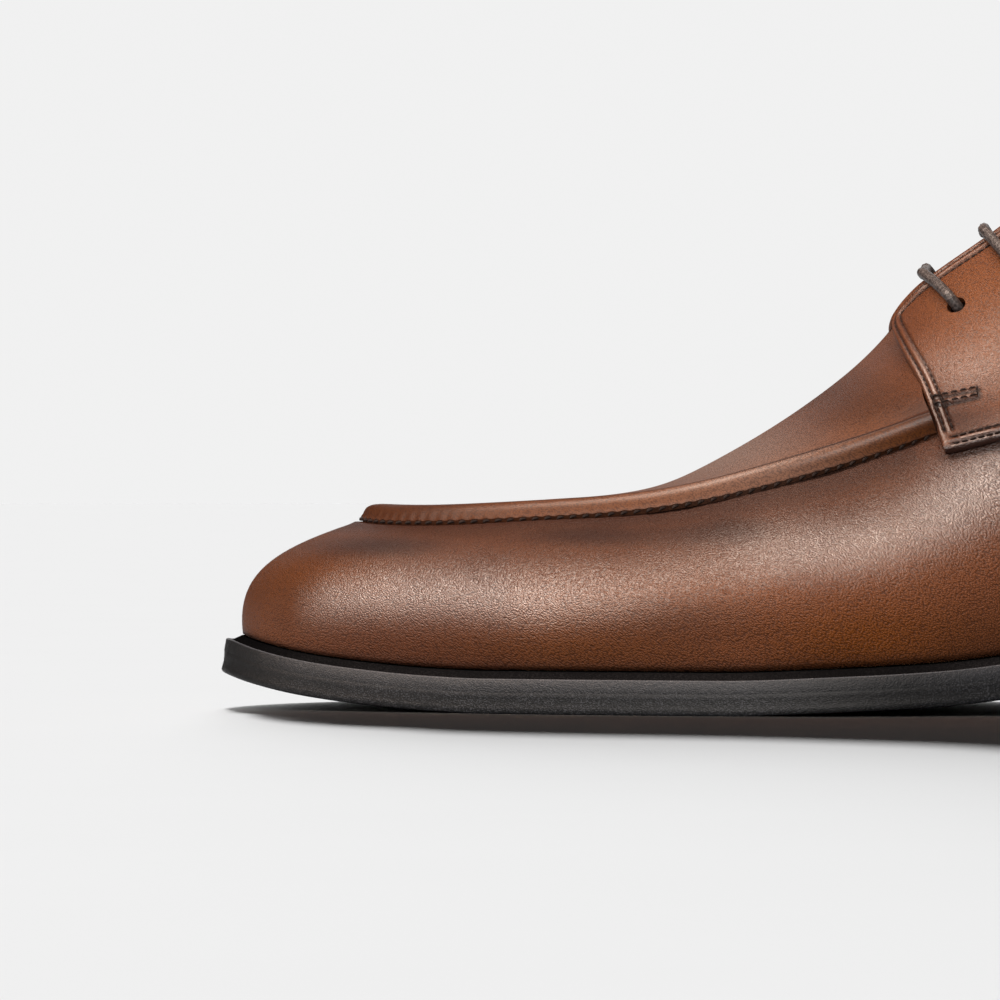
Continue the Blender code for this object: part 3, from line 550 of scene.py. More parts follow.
# Creases of the leather seen from the side: soft troughs, and ridges with a depth below zero
CREASE_COLUMNS = ("from_station", "from_height", "to_station", "to_height", "width", "depth")
CREASE_ROWS = (
    (60.0, 33.0, 66.0, 14.0, 9.0, -0.25),
    (86.0, 36.0, 98.0, 14.0, 9.0, 0.45),
    (113.0, 42.0, 124.0, 12.0, 8.0, 0.5),
    (134.0, 55.0, 150.0, 62.0, 2.2, 0.45),
    (150.0, 50.0, 175.0, 20.0, 14.0, 0.4),
)


def column(columns, rows, name):
    """One named column of a table."""
    place = columns.index(name)
    return np.array([row[place] for row in rows], dtype=float)


def monotone(knots, values):
    """A curve through the points that never overshoots them."""
    steps = np.diff(knots)
    slopes = np.diff(values) / steps
    tangents = np.zeros(len(knots))
    tangents[0], tangents[-1] = slopes[0], slopes[-1]
    for i in range(1, len(knots) - 1):
        if slopes[i - 1] * slopes[i] > 0.0:
            before = 2.0 * steps[i] + steps[i - 1]
            after = steps[i] + 2.0 * steps[i - 1]
            tangents[i] = (before + after) / (before / slopes[i - 1] + after / slopes[i])

    def curve(at):
        at = np.clip(at, knots[0], knots[-1])
        i = np.clip(np.searchsorted(knots, at) - 1, 0, len(steps) - 1)
        t = (at - knots[i]) / steps[i]
        rise = (3.0 - 2.0 * t) * t * t
        start = t * (1.0 - t) ** 2 * steps[i] * tangents[i]
        end = t * t * (t - 1.0) * steps[i] * tangents[i + 1]
        return values[i] * (1.0 - rise) + values[i + 1] * rise + start + end

    return curve


def loop_spline(knots, values):
    """A smooth closed curve over one turn of the angle, through the points."""
    count = len(knots)
    steps = np.diff(np.append(knots, knots[0] + TURN))
    slopes = (np.roll(values, -1) - values) / steps
    system = np.zeros((count, count))
    for i in range(count):
        system[i, i - 1] += steps[i - 1]
        system[i, i] += 2.0 * (steps[i - 1] + steps[i])
        system[i, (i + 1) % count] += steps[i]
    bends = np.linalg.solve(system, 6.0 * (slopes - np.roll(slopes, 1)))

    def curve(angle):
        angle = np.mod(angle, TURN)
        i = np.searchsorted(knots, angle, side="right") - 1
        after = (i + 1) % count
        t = angle - knots[i]
        rest = steps[i] - t
        line = (values[i] / steps[i] - bends[i] * steps[i] / 6.0) * rest
        line = line + (values[after] / steps[i] - bends[after] * steps[i] / 6.0) * t
        return line + (bends[i] * rest ** 3 + bends[after] * t ** 3) / (6.0 * steps[i])

    return curve


def angle_at(station):
    """Angle of a station on the lateral side."""
    return np.arccos(1.0 - 2.0 * np.asarray(station, dtype=float) / SHOE_LENGTH)


def around(stations, lateral, medial):
    """A closed curve over the angle from values on the two sides, toe and heel shared."""
    angles = angle_at(stations)
    knots = np.concatenate([angles, TURN - angles[-2:0:-1]])
    return loop_spline(knots, np.concatenate([lateral, medial[-2:0:-1]]))


def table_curve(columns, rows, name):
    """A column that is the same on both sides, as a curve over the angle."""
    values = column(columns, rows, name)
    return around(column(columns, rows, "station"), values, values)


OUTLINE_STATIONS = column(OUTLINE_COLUMNS, OUTLINE_ROWS, "station")
OUTLINE_MIDDLE = column(OUTLINE_COLUMNS, OUTLINE_ROWS, "middle")
OUTLINE_HALF = column(OUTLINE_COLUMNS, OUTLINE_ROWS, "half_width")
outline_side = around(OUTLINE_STATIONS, OUTLINE_MIDDLE - OUTLINE_HALF, OUTLINE_MIDDLE + OUTLINE_HALF)

underside = monotone(column(UNDERSIDE_COLUMNS, UNDERSIDE_ROWS, "station"),
                     column(UNDERSIDE_COLUMNS, UNDERSIDE_ROWS, "height"))

WALL = {name: table_curve(WALL_COLUMNS, WALL_ROWS, name) for name in WALL_COLUMNS}
mid_side = around(column(WALL_COLUMNS, WALL_ROWS, "station"),
                  column(WALL_COLUMNS, WALL_ROWS, "mid_lateral"),
                  column(WALL_COLUMNS, WALL_ROWS, "mid_medial"))

TOP = {name: table_curve(TOP_COLUMNS, TOP_ROWS, name) for name in TOP_COLUMNS}
TOP_MIDDLE = column(TOP_COLUMNS, TOP_ROWS, "top_middle")
TOP_HALF = column(TOP_COLUMNS, TOP_ROWS, "top_half")
top_side = around(column(TOP_COLUMNS, TOP_ROWS, "station"), TOP_MIDDLE - TOP_HALF, TOP_MIDDLE + TOP_HALF)

ridge_height = monotone(column(RIDGE_COLUMNS, RIDGE_ROWS, "inward"),
                        column(RIDGE_COLUMNS, RIDGE_ROWS, "height"))


def points(along, side, height):
    """Coordinates as one array of points."""
    return np.stack(np.broadcast_arrays(along, side, height), axis=-1).astype(float)


def unit(vectors):
    """Vectors of length one."""
    return vectors / np.linalg.norm(vectors, axis=-1, keepdims=True)


def outline_inset(angle, inset):
    """Station and side of the sole's outline, moved inwards, and the direction inwards."""
    half = SHOE_LENGTH / 2.0
    along = half * (1.0 - np.cos(angle))
    run = half * np.sin(angle)
    slip = (outline_side(angle + ANGLE_STEP) - outline_side(angle - ANGLE_STEP)) / (2.0 * ANGLE_STEP)
    length = np.hypot(run, slip)
    inward_along = -slip / length
    inward_side = run / length
    side = outline_side(angle) + inset * inward_side
    return along + inset * inward_along, side, inward_along, inward_side


def sole_point(along, side, height):
    """A point at a height over the underside, square to the sole's slope."""
    slope = (underside(along + SLOPE_STEP) - underside(along - SLOPE_STEP)) / (2.0 * SLOPE_STEP)
    level = np.sqrt(1.0 + slope ** 2)
    return points(along - height * slope / level, side, underside(along) + height / level)


FEATHER_HEIGHT = OUTSOLE_THICKNESS + GAP + WELT_EDGE + WELT_SLOPE + GAP


def bezier(start, start_pull, end_pull, end, t):
    """Cubic curve between two points."""
    t = np.asarray(t)[..., None]
    rest = 1.0 - t
    near = rest ** 3 * start + 3.0 * rest ** 2 * t * start_pull
    return near + 3.0 * rest * t ** 2 * end_pull + t ** 3 * end


def tilted(inward, degrees):
    """A direction tilted up from the horizontal direction inwards."""
    turn = np.radians(degrees)[..., None]
    return inward * np.cos(turn) + UP * np.sin(turn)


def top_line(angle):
    """Crest, throat edge and collar."""
    middle = TOP["top_middle"](angle)
    side = top_side(angle)
    lateral = np.mod(angle, TURN) < math.pi
    in_front = TOP["top_station"](angle) < SHOE_LENGTH / 2.0
    clipped = np.where(lateral, np.minimum(side, middle), np.maximum(side, middle))
    return points(TOP["top_station"](angle), np.where(in_front, clipped, side), TOP["top_height"](angle))


def last_surface(angle, level):
    """A point on the outside of the upper."""
    angle, level = np.broadcast_arrays(np.asarray(angle, float), np.asarray(level, float))
    along, side, inward_along, inward_side = outline_inset(angle, WALL["overhang"](angle))
    inward = points(inward_along, inward_side, 0.0)
    foot = sole_point(along, side, FEATHER_HEIGHT)
    middle = points(WALL["mid_station"](angle), mid_side(angle), WALL["mid_height"](angle))
    top = top_line(angle)
    wall_length = np.linalg.norm(middle - foot, axis=-1)
    foot_reach = (wall_length * WALL["foot_pull"](angle))[..., None]
    mid_reach = (wall_length * WALL["mid_pull"](angle))[..., None]
    foot_pull = foot + tilted(inward, UPRIGHT + WALL["lean"](angle)) * foot_reach
    mid_pull = middle - tilted(inward, WALL["rise"](angle)) * mid_reach
    wall = bezier(foot, foot_pull, mid_pull, middle, np.clip(level, 0.0, 1.0))
    across = unit((top - middle) * LEVEL)
    plug_length = np.linalg.norm(top - middle, axis=-1, keepdims=True) * PLUG_PULL
    plug_start = middle + tilted(across, TOP["plug_rise"](angle)) * plug_length
    plug_end = top - tilted(across, TOP["crown"](angle)) * plug_length
    plug = bezier(middle, plug_start, plug_end, top, np.clip(level - 1.0, 0.0, 1.0))
    return np.where((level <= 1.0)[..., None], wall, plug)


def outward(angle, level):
    """Direction square to the upper, pointing out."""
    step = LEVEL_STEP
    level = np.asarray(level, float)
    low = np.where(level > 1.0, np.maximum(level - step, 1.0 + step), np.maximum(level - step, 0.0))
    high = np.where(level <= 1.0, np.minimum(low + 2.0 * step, 1.0), np.minimum(low + 2.0 * step, 2.0))
    low = high - 2.0 * step
    middle = (low + high) / 2.0
    run = last_surface(angle + step, middle) - last_surface(angle - step, middle)
    rise = last_surface(angle, high) - last_surface(angle, low)
    return unit(np.cross(run, rise))


def over_upper(angle, level, height):
    """A point at a height over the upper."""
    height = np.asarray(height, float)[..., None]
    return last_surface(angle, level) + outward(angle, level) * height


def mirrored(angle):
    """The angle of the same station on the other side."""
    return TURN - angle


def on_side(angle, medial):
    """An angle of the lateral side, moved to the medial side if that is meant."""
    return mirrored(angle) if medial else angle


def lengths_along(path):
    """Length along a path at each of its points."""
    return np.concatenate([[0.0], np.cumsum(np.linalg.norm(np.diff(path, axis=0), axis=1))])


def ring_faces(low, high, count):
    """Faces between two rings of points that start at low and at high."""
    return [[low + i, low + (i + 1) % count, high + (i + 1) % count, high + i] for i in range(count)]


SIDE_CENTRE = np.mean([np.min(outline_side(np.linspace(0.0, TURN, OUTLINE_SAMPLES))),
                       np.max(outline_side(np.linspace(0.0, TURN, OUTLINE_SAMPLES)))])


def in_frame(spots):
    """Points in millimetres on the last, in metres in the part's frame."""
    return (np.asarray(spots) - np.array((SHOE_LENGTH / 2.0, SIDE_CENTRE, 0.0))) * MM


def soft_step(value, start, end):
    """A smooth step from 0 at start to 1 at end."""
    share = np.clip((value - start) / (end - start), 0.0, 1.0)
    return share * share * (3.0 - 2.0 * share)


def plateau(value, rise_from, rise_to, fall_from, fall_to):
    """A share that rises smoothly to 1 and falls again to 0."""
    return soft_step(value, rise_from, rise_to) * (1.0 - soft_step(value, fall_from, fall_to))


def strongest(*shares):
    """The largest of several shares at each point."""
    return np.maximum.reduce(np.broadcast_arrays(*shares))


def bump_at(value, centre, width):
    """A soft bump of height one."""
    return np.exp(-((value - centre) / width) ** 2)


def eased(spots, centre, inner, outer):
    """Points with those near a centre laid on a smooth surface through the ring around it."""
    along, side, height = np.moveaxis(spots - centre, -1, 0)
    away = np.hypot(along, side)
    terms = np.stack([np.ones_like(along), along, side, along ** 2, along * side, side ** 2], axis=-1)
    ring = (away > inner) & (away < outer)
    fit = np.linalg.lstsq(terms[ring], height[ring], rcond=None)[0]
    lift = (1.0 - soft_step(away, inner, outer)) * (terms @ fit - height)
    return spots + lift[..., None] * UP


def shell(faces, count, border, flip=False):
    """A sheet's upper faces, the same faces below and a wall between them along pairs of border points."""
    under = [[corner + count for corner in reversed(face)] for face in faces]
    wall = [[low, low + count, high + count, high] for low, high in border]
    return faces + under + [face[::-1] if flip else face for face in wall]


def doubled(marks):
    """Marks of a sheet's upper points, given to its lower points too."""
    return {name: np.tile(values.ravel(), 2) for name, values in marks.items()}


def grid_faces(columns, rows, closed=False, flip=False):
    """Faces of a grid whose points run up each column in turn."""
    first = np.arange(columns if closed else columns - 1)[:, None]
    after = (first + 1) % columns
    row = np.arange(rows - 1)[None, :]
    corners = [first * rows + row, after * rows + row, after * rows + row + 1, first * rows + row + 1]
    if flip:
        corners.reverse()
    return np.stack(corners, axis=-1).reshape(-1, 4).tolist()


def group(name):
    """A collection of the scene, made when it is first asked for."""
    found = bpy.data.collections.get(name)
    if found is None:
        found = bpy.data.collections.new(name)
        bpy.context.scene.collection.children.link(found)
    return found


def new_piece(name, spots, faces, looks, nodes=(), marks=None):
    """A dressed piece from points in millimetres; marks are values kept on its points."""
    mesh = bpy.data.meshes.new(name)
    mesh.from_pydata(in_frame(spots).tolist(), [], faces)
    for mark, values in (marks or {}).items():
        kept = mesh.attributes.new(mark, "FLOAT", "POINT")
        kept.data.foreach_set("value", np.asarray(values, dtype=np.float32).ravel())
    for look in looks:
        mesh.materials.append(look)
    mesh.update()
    mesh.shade_smooth()
    mesh.set_sharp_from_angle(angle=math.radians(SHARP_ANGLE))
    piece = bpy.data.objects.new(name, mesh)
    group("dressed_shoe").objects.link(piece)
    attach(piece, "root")
    if nodes:
        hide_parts(*nodes)
    return piece


def settle(piece):
    """Keep the mesh that a piece's modifiers give, and drop the modifiers."""
    graph = bpy.context.evaluated_depsgraph_get()
    mesh = bpy.data.meshes.new_from_object(piece.evaluated_get(graph), preserve_all_data_layers=True,
                                           depsgraph=graph)
    piece.modifiers.clear()
    plain = piece.data
    piece.data = mesh
    mesh.name = piece.name
    bpy.data.meshes.remove(plain)


def join_close(piece, distance):
    """Join points of a piece that lie together."""
    shape = bmesh.new()
    shape.from_mesh(piece.data)
    bmesh.ops.remove_doubles(shape, verts=shape.verts, dist=distance * MM)
    shape.to_mesh(piece.data)
    shape.free()


def thicken(piece, thickness, offset, inside_look=0):
    """Give an open surface its thickness: outwards with offset 1, inwards with offset -1."""
    shell = piece.modifiers.new("thickness", "SOLIDIFY")
    shell.thickness = thickness * MM
    shell.offset = offset
    shell.use_even_offset = True
    shell.use_quality_normals = True
    shell.material_offset = inside_look
    shell.material_offset_rim = 0


def between(places, knots, spots):
    """Points between the points of a row."""
    return np.stack([np.interp(places, knots, spots[:, i]) for i in range(3)], axis=1)


def even_path(path, pitch):
    """Points at even steps along a path, with the direction at each."""
    lengths = lengths_along(path)
    count = max(int(lengths[-1] / pitch), 2)
    places = (np.arange(count) + 0.5) * lengths[-1] / count
    ahead = between(places + PATH_STEP, lengths, path)
    return between(places, lengths, path), unit(ahead - between(places - PATH_STEP, lengths, path))


def side_spot(station, height):
    """Angle and level of the lateral points of the upper that have a station and a height."""
    station, height = np.atleast_1d(station).astype(float), np.atleast_1d(height).astype(float)
    angle = angle_at(station)
    level = np.ones_like(angle)
    for _ in range(SPOT_ROUNDS):
        here = last_surface(angle, level)
        turned = last_surface(angle + LEVEL_STEP, level)
        raised = last_surface(angle, level + LEVEL_STEP)
        by_angle = (turned - here)[:, (0, 2)] / LEVEL_STEP
        by_level = (raised - here)[:, (0, 2)] / LEVEL_STEP
        miss = np.stack([station, height], axis=1) - here[:, (0, 2)]
        area = by_angle[:, 0] * by_level[:, 1] - by_angle[:, 1] * by_level[:, 0]
        angle = angle + (miss[:, 0] * by_level[:, 1] - miss[:, 1] * by_level[:, 0]) / area
        level = level + (by_angle[:, 0] * miss[:, 1] - by_angle[:, 1] * miss[:, 0]) / area
        level = np.clip(level, 0.0, 2.0 - LEVEL_STEP)
    return angle, level


class Wire:
    """A socket of a look's node tree. Arithmetic on it adds Math nodes."""

    def __init__(self, tree, socket):
        self.tree = tree
        self.socket = socket

    def math(self, operation, *others, swap=False):
        """A Math node of this socket and other sockets or numbers."""
        node = self.tree.nodes.new("ShaderNodeMath")
        node.operation = operation
        for place, value in zip(node.inputs, (*others, self) if swap else (self, *others)):
            plug(self.tree, place, value)
        return Wire(self.tree, node.outputs[0])

    def __add__(self, other):
        return self.math("ADD", other)

    __radd__ = __add__

    def __mul__(self, other):
        return self.math("MULTIPLY", other)

    __rmul__ = __mul__

    def __sub__(self, other):
        return self.math("SUBTRACT", other)

    def __rsub__(self, other):
        return self.math("SUBTRACT", other, swap=True)

    def step(self, start, end):
        """A smooth step from 0 at start to 1 at end."""
        node = self.tree.nodes.new("ShaderNodeMapRange")
        node.interpolation_type = "SMOOTHSTEP"
        for place, value in zip(node.inputs, (self, start, end)):
            plug(self.tree, place, value)
        return Wire(self.tree, node.outputs[0])


def plug(tree, place, value):
    """Link a wire to a socket, or set the socket's own value."""
    if isinstance(value, Wire):
        tree.links.new(value.socket, place)
    elif place.type == "RGBA" and len(value) == 3:
        place.default_value = (*value, 1.0)
    else:
        place.default_value = value


SHADER_SOCKETS = {
    "colour": "Base Color",
    "roughness": "Roughness",
    "normal": "Normal",
    "coat": "Coat Weight",
    "specular": "Specular IOR Level",
    "index": "IOR",
}


class Nodes:
    """A node tree that is filled node by node."""

    def __init__(self, tree):
        self.tree = tree

    def add(self, kind, settings=None, sockets=None, output=0):
        """A node of a type, with its settings set first and then its sockets; gives one output."""
        node = self.tree.nodes.new(kind)
        for setting, value in (settings or {}).items():
            setattr(node, setting, value)
        for place, value in (sockets or {}).items():
            plug(self.tree, node.inputs[place], value)
        return Wire(self.tree, node.outputs[output])


class Look(Nodes):
    """A material and the nodes that make it."""

    def __init__(self, name):
        self.material = bpy.data.materials.new(name)
        self.material.use_nodes = True
        super().__init__(self.material.node_tree)
        self.shader = self.tree.nodes["Principled BSDF"]

    def mark(self, name):
        """A value kept on the points of the piece."""
        return self.add("ShaderNodeAttribute", {"attribute_name": name}, output="Fac")

    def place(self, size=(1.0, 1.0, 1.0), turn=(0.0, 0.0, 0.0)):
        """Places on the piece, in steps of a size in millimetres, turned by degrees."""
        spots = self.add("ShaderNodeTexCoord", output="Object")
        settings = {
            "Vector": spots,
            "Rotation": tuple(math.radians(angle) for angle in turn),
            "Scale": tuple(each * MM for each in size),
        }
        return self.add("ShaderNodeMapping", {"vector_type": "TEXTURE"}, settings, "Vector")

    def noise(self, size, detail=2.0, turn=(0.0, 0.0, 0.0), twist=0.0):
        """Soft noise with spots of a size in millimetres."""
        size = size if isinstance(size, tuple) else (size, size, size)
        sockets = {"Vector": self.place(size, turn), "Scale": 1.0, "Detail": detail, "Distortion": twist}
        return self.add("ShaderNodeTexNoise", None, sockets, "Fac")

    def cells(self, size, turn=(0.0, 0.0, 0.0)):
        """Cells of a size in millimetres, as the distance from their middles."""
        size = size if isinstance(size, tuple) else (size, size, size)
        sockets = {"Vector": self.place(size, turn), "Scale": 1.0}
        return self.add("ShaderNodeTexVoronoi", {"feature": "F1"}, sockets, "Distance")

    def mix(self, share, first, second):
        """Two colours mixed."""
        return self.add("ShaderNodeMix", {"data_type": "RGBA"}, {0: share, 6: first, 7: second}, 2)

    def relief(self, layers):
        """Bump from layers of height and depth in millimetres."""
        normal = None
        for height, depth in layers:
            sockets = {"Height": height, "Distance": depth * MM, "Strength": 1.0}
            if normal is not None:
                sockets["Normal"] = normal
            normal = self.add("ShaderNodeBump", None, sockets, "Normal")
        return normal

    def finish(self, **sockets):
        """Set the shader's sockets by their plain names, and give the material."""
        for name, value in sockets.items():
            plug(self.tree, self.shader.inputs[SHADER_SOCKETS[name]], value)
        return self.material

    def over(self, share, **sockets):
        """Lay a second finish over the first by a share."""
        first = Wire(self.tree, self.shader.outputs[0])
        second = self.add("ShaderNodeBsdfPrincipled", None,
                          {SHADER_SOCKETS[name]: value for name, value in sockets.items()})
        both = self.add("ShaderNodeMixShader", None, {0: share, 1: first, 2: second})
        plug(self.tree, self.tree.nodes["Material Output"].inputs["Surface"], both)


def uneven(noise, least, span):
    """A value that rises with the noise from its least by a span."""
    return least + noise * span


def shaded(colour, factor):
    """A colour made darker or paler."""
    return tuple(min(1.0, each * factor) for each in colour)


def leather_look(name, leather):
    """Burnished calf: brown with amber patches, a painted grey sheen and painted shade, drawn grain and a
    soft polish.
    """
    look = Look(name)
    width = leather.grain_width / MM
    cloud = look.noise(CLOUD_SIZE, 3.0)
    mottle = look.noise(MOTTLE_SIZE, 3.0)
    base = look.mix(cloud.step(*CLOUD_STEP), leather.brown, leather.deep_brown)
    base = look.mix(look.mark("amber"), base, leather.amber)
    # Painted grey sheen on top of the vamp, then painted shade at seams, grooves and edges
    base = look.mix(look.mark("painted_sheen_share"), base, leather.painted_sheen)
    base = look.mix(look.mark("burnish_and_shade"), base, leather.burnish_and_shade)
    darker = look.mix(MOTTLE_DARK, base, leather.burnish_and_shade)
    base = look.mix((mottle - 0.5) * MOTTLE_SPAN + 0.5, base, darker)
    drawn = look.noise(tuple(width * each for each in GRAIN_STRETCH), 1.0, GRAIN_TURN, GRAIN_TWIST)
    pores = look.cells(tuple(width * each for each in PORE_STRETCH), GRAIN_TURN)
    # Pores painted darker, as shade in the hollows of the grain
    base = look.mix(pores.step(*PORE_STEP) * PORE_DARK, base, leather.burnish_and_shade)
    waves = look.noise(WAVE_SIZE, 2.0)
    rough_share = (1.0 - look.mark("sleek")) * (leather.grain_depth / MM)
    normal = look.relief([(waves, WAVE_DEPTH), (drawn * rough_share, GRAIN_SHARE),
                          ((1.0 - pores) * rough_share, 1.0)])
    rough = leather.roughness + (drawn - 0.5) * GRAIN_ROUGH + look.mark("painted_sheen_share") * GREY_ROUGH
    look.over(look.mark("polish"), colour=base, roughness=leather.polish_roughness, normal=normal,
              specular=leather.polish, index=POLISH_INDEX)
    return look.finish(colour=base, roughness=rough, normal=normal, specular=leather.gloss)


def lining_look(leather):
    """Pale lining leather, rubbed smooth."""
    look = Look("lining_leather_sock")
    cloud = look.noise(LINING_CLOUD, 3.0)
    base = look.mix(cloud.step(*LINING_STEP), leather.lining, leather.lining_worn)
    grain_size, grain_depth = LINING_GRAIN
    pore_size, pore_depth = LINING_PORES
    normal = look.relief([(look.noise(grain_size, 3.0), grain_depth), (look.cells(pore_size), pore_depth)])
    return look.finish(colour=base, roughness=uneven(cloud, *LINING_ROUGH), normal=normal)


def edge_look(name, colour, fleck, speck, roughness, grain, specular):
    """Black waxed sole edge or welt: flecked, with a fine rough grain, a painted highlight towards its lip,
    and painted shade where marked.
    """
    look = Look(name)
    rise = look.mark("rise")
    fine = look.noise((speck * FLECK_STRETCH, speck, speck), 2.0)
    broad = look.noise(BROAD_SIZE, 2.0)
    base = look.mix(fine.step(*FLECK_STEP), colour, fleck)
    base = look.mix(broad.step(*BROAD_STEP) * BROAD_SHARE, base, colour)
    # Painted highlight: paler towards the top of the edge and along its lip
    lip = rise.step(*LIP_STEP)
    base = look.mix(rise.step(*LIP_RISE) * LIP_SHARE + lip * LIP_SHARE, base, fleck)
    # Painted shade off the lip, by the wax mark
    base = look.mix(look.mark("wax") * (1.0 - lip), base, shaded(colour, EDGE_SHADE_DARK))
    normal = look.relief([(fine, grain), (look.noise(EDGE_GRAIN_SIZE, 2.0), grain * EDGE_GRAIN_SHARE)])
    rough = roughness + (fine - 0.5) * FLECK_ROUGH
    return look.finish(colour=base, roughness=rough, normal=normal, specular=specular)


def sole_under_look(sole):
    """Underside of the sole: dark stained leather, lightly scuffed on the tread."""
    look = Look("outsole_under")
    streak = look.noise(STREAK_SIZE, 4.0)
    base = look.mix(streak.step(*STREAK_STEP), sole.edge, sole.scuff)
    grain_size, grain_depth = TREAD_GRAIN
    normal = look.relief([(look.noise(grain_size, 3.0), grain_depth), (streak, STREAK_DEPTH)])
    return look.finish(colour=base, roughness=uneven(streak, *STREAK_ROUGH), normal=normal)


def thread_look(name, colour, twist):
    """Waxed thread with its twist."""
    look = Look(name)
    strands = look.noise(twist, 1.0)
    base = look.mix(strands.step(*THREAD_STEP), colour, shaded(colour, THREAD_PALER))
    return look.finish(colour=base, roughness=uneven(strands, *THREAD_ROUGH), specular=THREAD_SPECULAR,
                       normal=look.relief([(strands, THREAD_DEPTH)]))


def lace_look(thread):
    """Round waxed lace: dark strands with paler flecks, painted darker as shade in its grooves."""
    look = Look("lace_braid")
    fleck_size, fleck_depth = LACE_FLECK
    strand_size, strand_depth = LACE_STRAND
    fleck = look.cells(fleck_size)
    strands = look.noise(strand_size, 2.0)
    base = look.mix(fleck.step(*LACE_STEP), thread.lace, thread.lace_fleck)
    # Painted shade in the grooves between the strands
    base = look.mix(look.mark("groove"), base, shaded(thread.lace, LACE_GROOVE_DARK))
    return look.finish(colour=base, roughness=uneven(strands, *LACE_ROUGH), coat=LACE_COAT,
                       normal=look.relief([(strands, strand_depth), (fleck, fleck_depth)]))


def rubber_look(sole):
    """Matt black rubber of the top piece."""
    look = Look("heel_rubber")
    grain_size, grain_depth = RUBBER_GRAIN
    fine = look.noise(grain_size, 3.0)
    base = look.mix(fine.step(*RUBBER_STEP), sole.rubber, sole.edge_fleck)
    return look.finish(colour=base, roughness=uneven(fine, *RUBBER_ROUGH),
                       normal=look.relief([(fine, grain_depth)]))


def floor_look(stage):
    """Pale studio floor and backdrop."""
    look = Look("studio_floor")
    dust = look.noise(DUST_SIZE, 2.0)
    base = look.mix(dust, stage.floor, shaded(stage.floor, DUST_SHADE))
    return look.finish(colour=base, roughness=FLOOR_ROUGH, specular=0.0)


def rows_of(columns, rows):
    """The rows of a table as named values."""
    return [dict(zip(columns, row)) for row in rows]


def patch_share(columns, rows, spots):
    """How strongly the listed patches of colour cover points, from 0 to 1."""
    share = np.zeros(spots.shape[:-1])
    for patch in rows_of(columns, rows):
        along = (spots[..., 0] - patch["station"]) / patch["along"]
        up = (spots[..., 2] - patch["height"]) / patch["up"]
        share = share + patch["strength"] * np.exp(-along ** 2 - up ** 2)
    return np.clip(share, 0.0, 1.0)


def crease_relief(spots):
    """How far the leather sinks or rises in its creases."""
    relief = np.zeros(spots.shape[:-1])
    flat = spots[..., (0, 2)]
    for crease in rows_of(CREASE_COLUMNS, CREASE_ROWS):
        start = np.array((crease["from_station"], crease["from_height"]))
        run = np.array((crease["to_station"], crease["to_height"])) - start
        share = np.clip(((flat - start) @ run) / (run @ run), 0.0, 1.0)
        away = np.linalg.norm(flat - start - share[..., None] * run, axis=-1)
        relief = relief - crease["depth"] * np.exp(-(away / crease["width"]) ** 2)
    return relief


def polish_band(spots):
    """How brightly the leather is polished at points."""
    stations = column(POLISH_COLUMNS, POLISH_ROWS, "station")
    middle, reach, strength = (np.interp(spots[..., 0], stations, column(POLISH_COLUMNS, POLISH_ROWS, name))
                               for name in POLISH_COLUMNS[1:])
    return strength * np.exp(-((spots[..., 2] - middle) / reach) ** 2)


def tone_marks(spots, burnish_and_shade):
    """Amber, painted grey sheen, painted shade and polished shares of the leather at points."""
    # Darker patches and the given shade shares are painted shade
    dark = np.maximum(burnish_and_shade, patch_share(PATCH_COLUMNS, DARK_ROWS, spots))
    return {
        "polish": np.maximum(polish_band(spots), patch_share(PATCH_COLUMNS, SHINE_ROWS, spots)),
        "amber": patch_share(PATCH_COLUMNS, AMBER_ROWS, spots),
        "painted_sheen_share": patch_share(PATCH_COLUMNS, PAINTED_SHEEN_ROWS, spots),
        "burnish_and_shade": np.clip(dark, 0.0, 1.0),
    }


def seam_run(angle):
    """Length along the apron seam from the toe to an angle."""
    turned = np.mod(np.asarray(angle, float), TURN)
    turned = np.where(turned > math.pi, mirrored(turned), turned)
    samples = np.linspace(0.0, float(angle_at(SEAM_END)), CURVE_SAMPLES)
    return np.interp(turned, samples, lengths_along(last_surface(samples, 1.0)))


def pucker(angle):
    """How far the leather is drawn in along the apron seam: 1 at a stitch, 0 between two."""
    return 0.5 + 0.5 * np.cos(TURN * seam_run(angle) / SEAM_PITCH)


def dress_upper(looks):
    """Side wall and back of the upper with its lining."""
    angle = np.linspace(0.0, TURN, UPPER_COLUMNS, endpoint=False)[:, None]
    wall = np.linspace(0.0, 1.0, WALL_LEVELS)
    level = np.concatenate([wall, np.linspace(1.0, 2.0, PLUG_LEVELS)[1:]])[None, :]
    base = last_surface(angle, level)
    from_seam = np.linalg.norm(base - last_surface(angle, 1.0), axis=-1)
    front = 1.0 - soft_step(base[..., 0], *SEAM_FADE)
    dip = bump_at(from_seam, 0.0, SEAM_DIP_WIDTH) * front
    relief = crease_relief(base) * soft_step(level, *CREASE_LEVELS)
    relief = relief - dip * (SEAM_DIP + SEAM_PUCKER * pucker(angle))
    relief = relief + SEAM_LIP * bump_at(from_seam, SEAM_LIP_FROM, SEAM_LIP_WIDTH) * front * (level < 1.0)
    spots = base + outward(angle, level) * relief[..., None]
    foot = np.linalg.norm(base - last_surface(angle, 0.0), axis=-1)
    # Painted shade along the apron seam, at the foot of the wall and over its upper part and plug
    shades = [share * bump_at(from_seam, 0.0, width) * front for share, width in SEAM_SHADE_ROWS]
    shades.append(FOOT_SHADE * bump_at(foot, 0.0, FOOT_SHADE_WIDTH))
    shades.append(UPPER_SHADE * soft_step(level, *UPPER_SHADE_LEVELS))
    faces = grid_faces(UPPER_COLUMNS, level.shape[1], closed=True)
    upper = new_piece("upper_leather", spots.reshape(-1, 3), faces, looks, ("upper",),
                      tone_marks(base, strongest(*shades)))
    join_close(upper, JOIN_UPPER)
    thicken(upper, UPPER_WALL, -1.0, 1)
    return upper


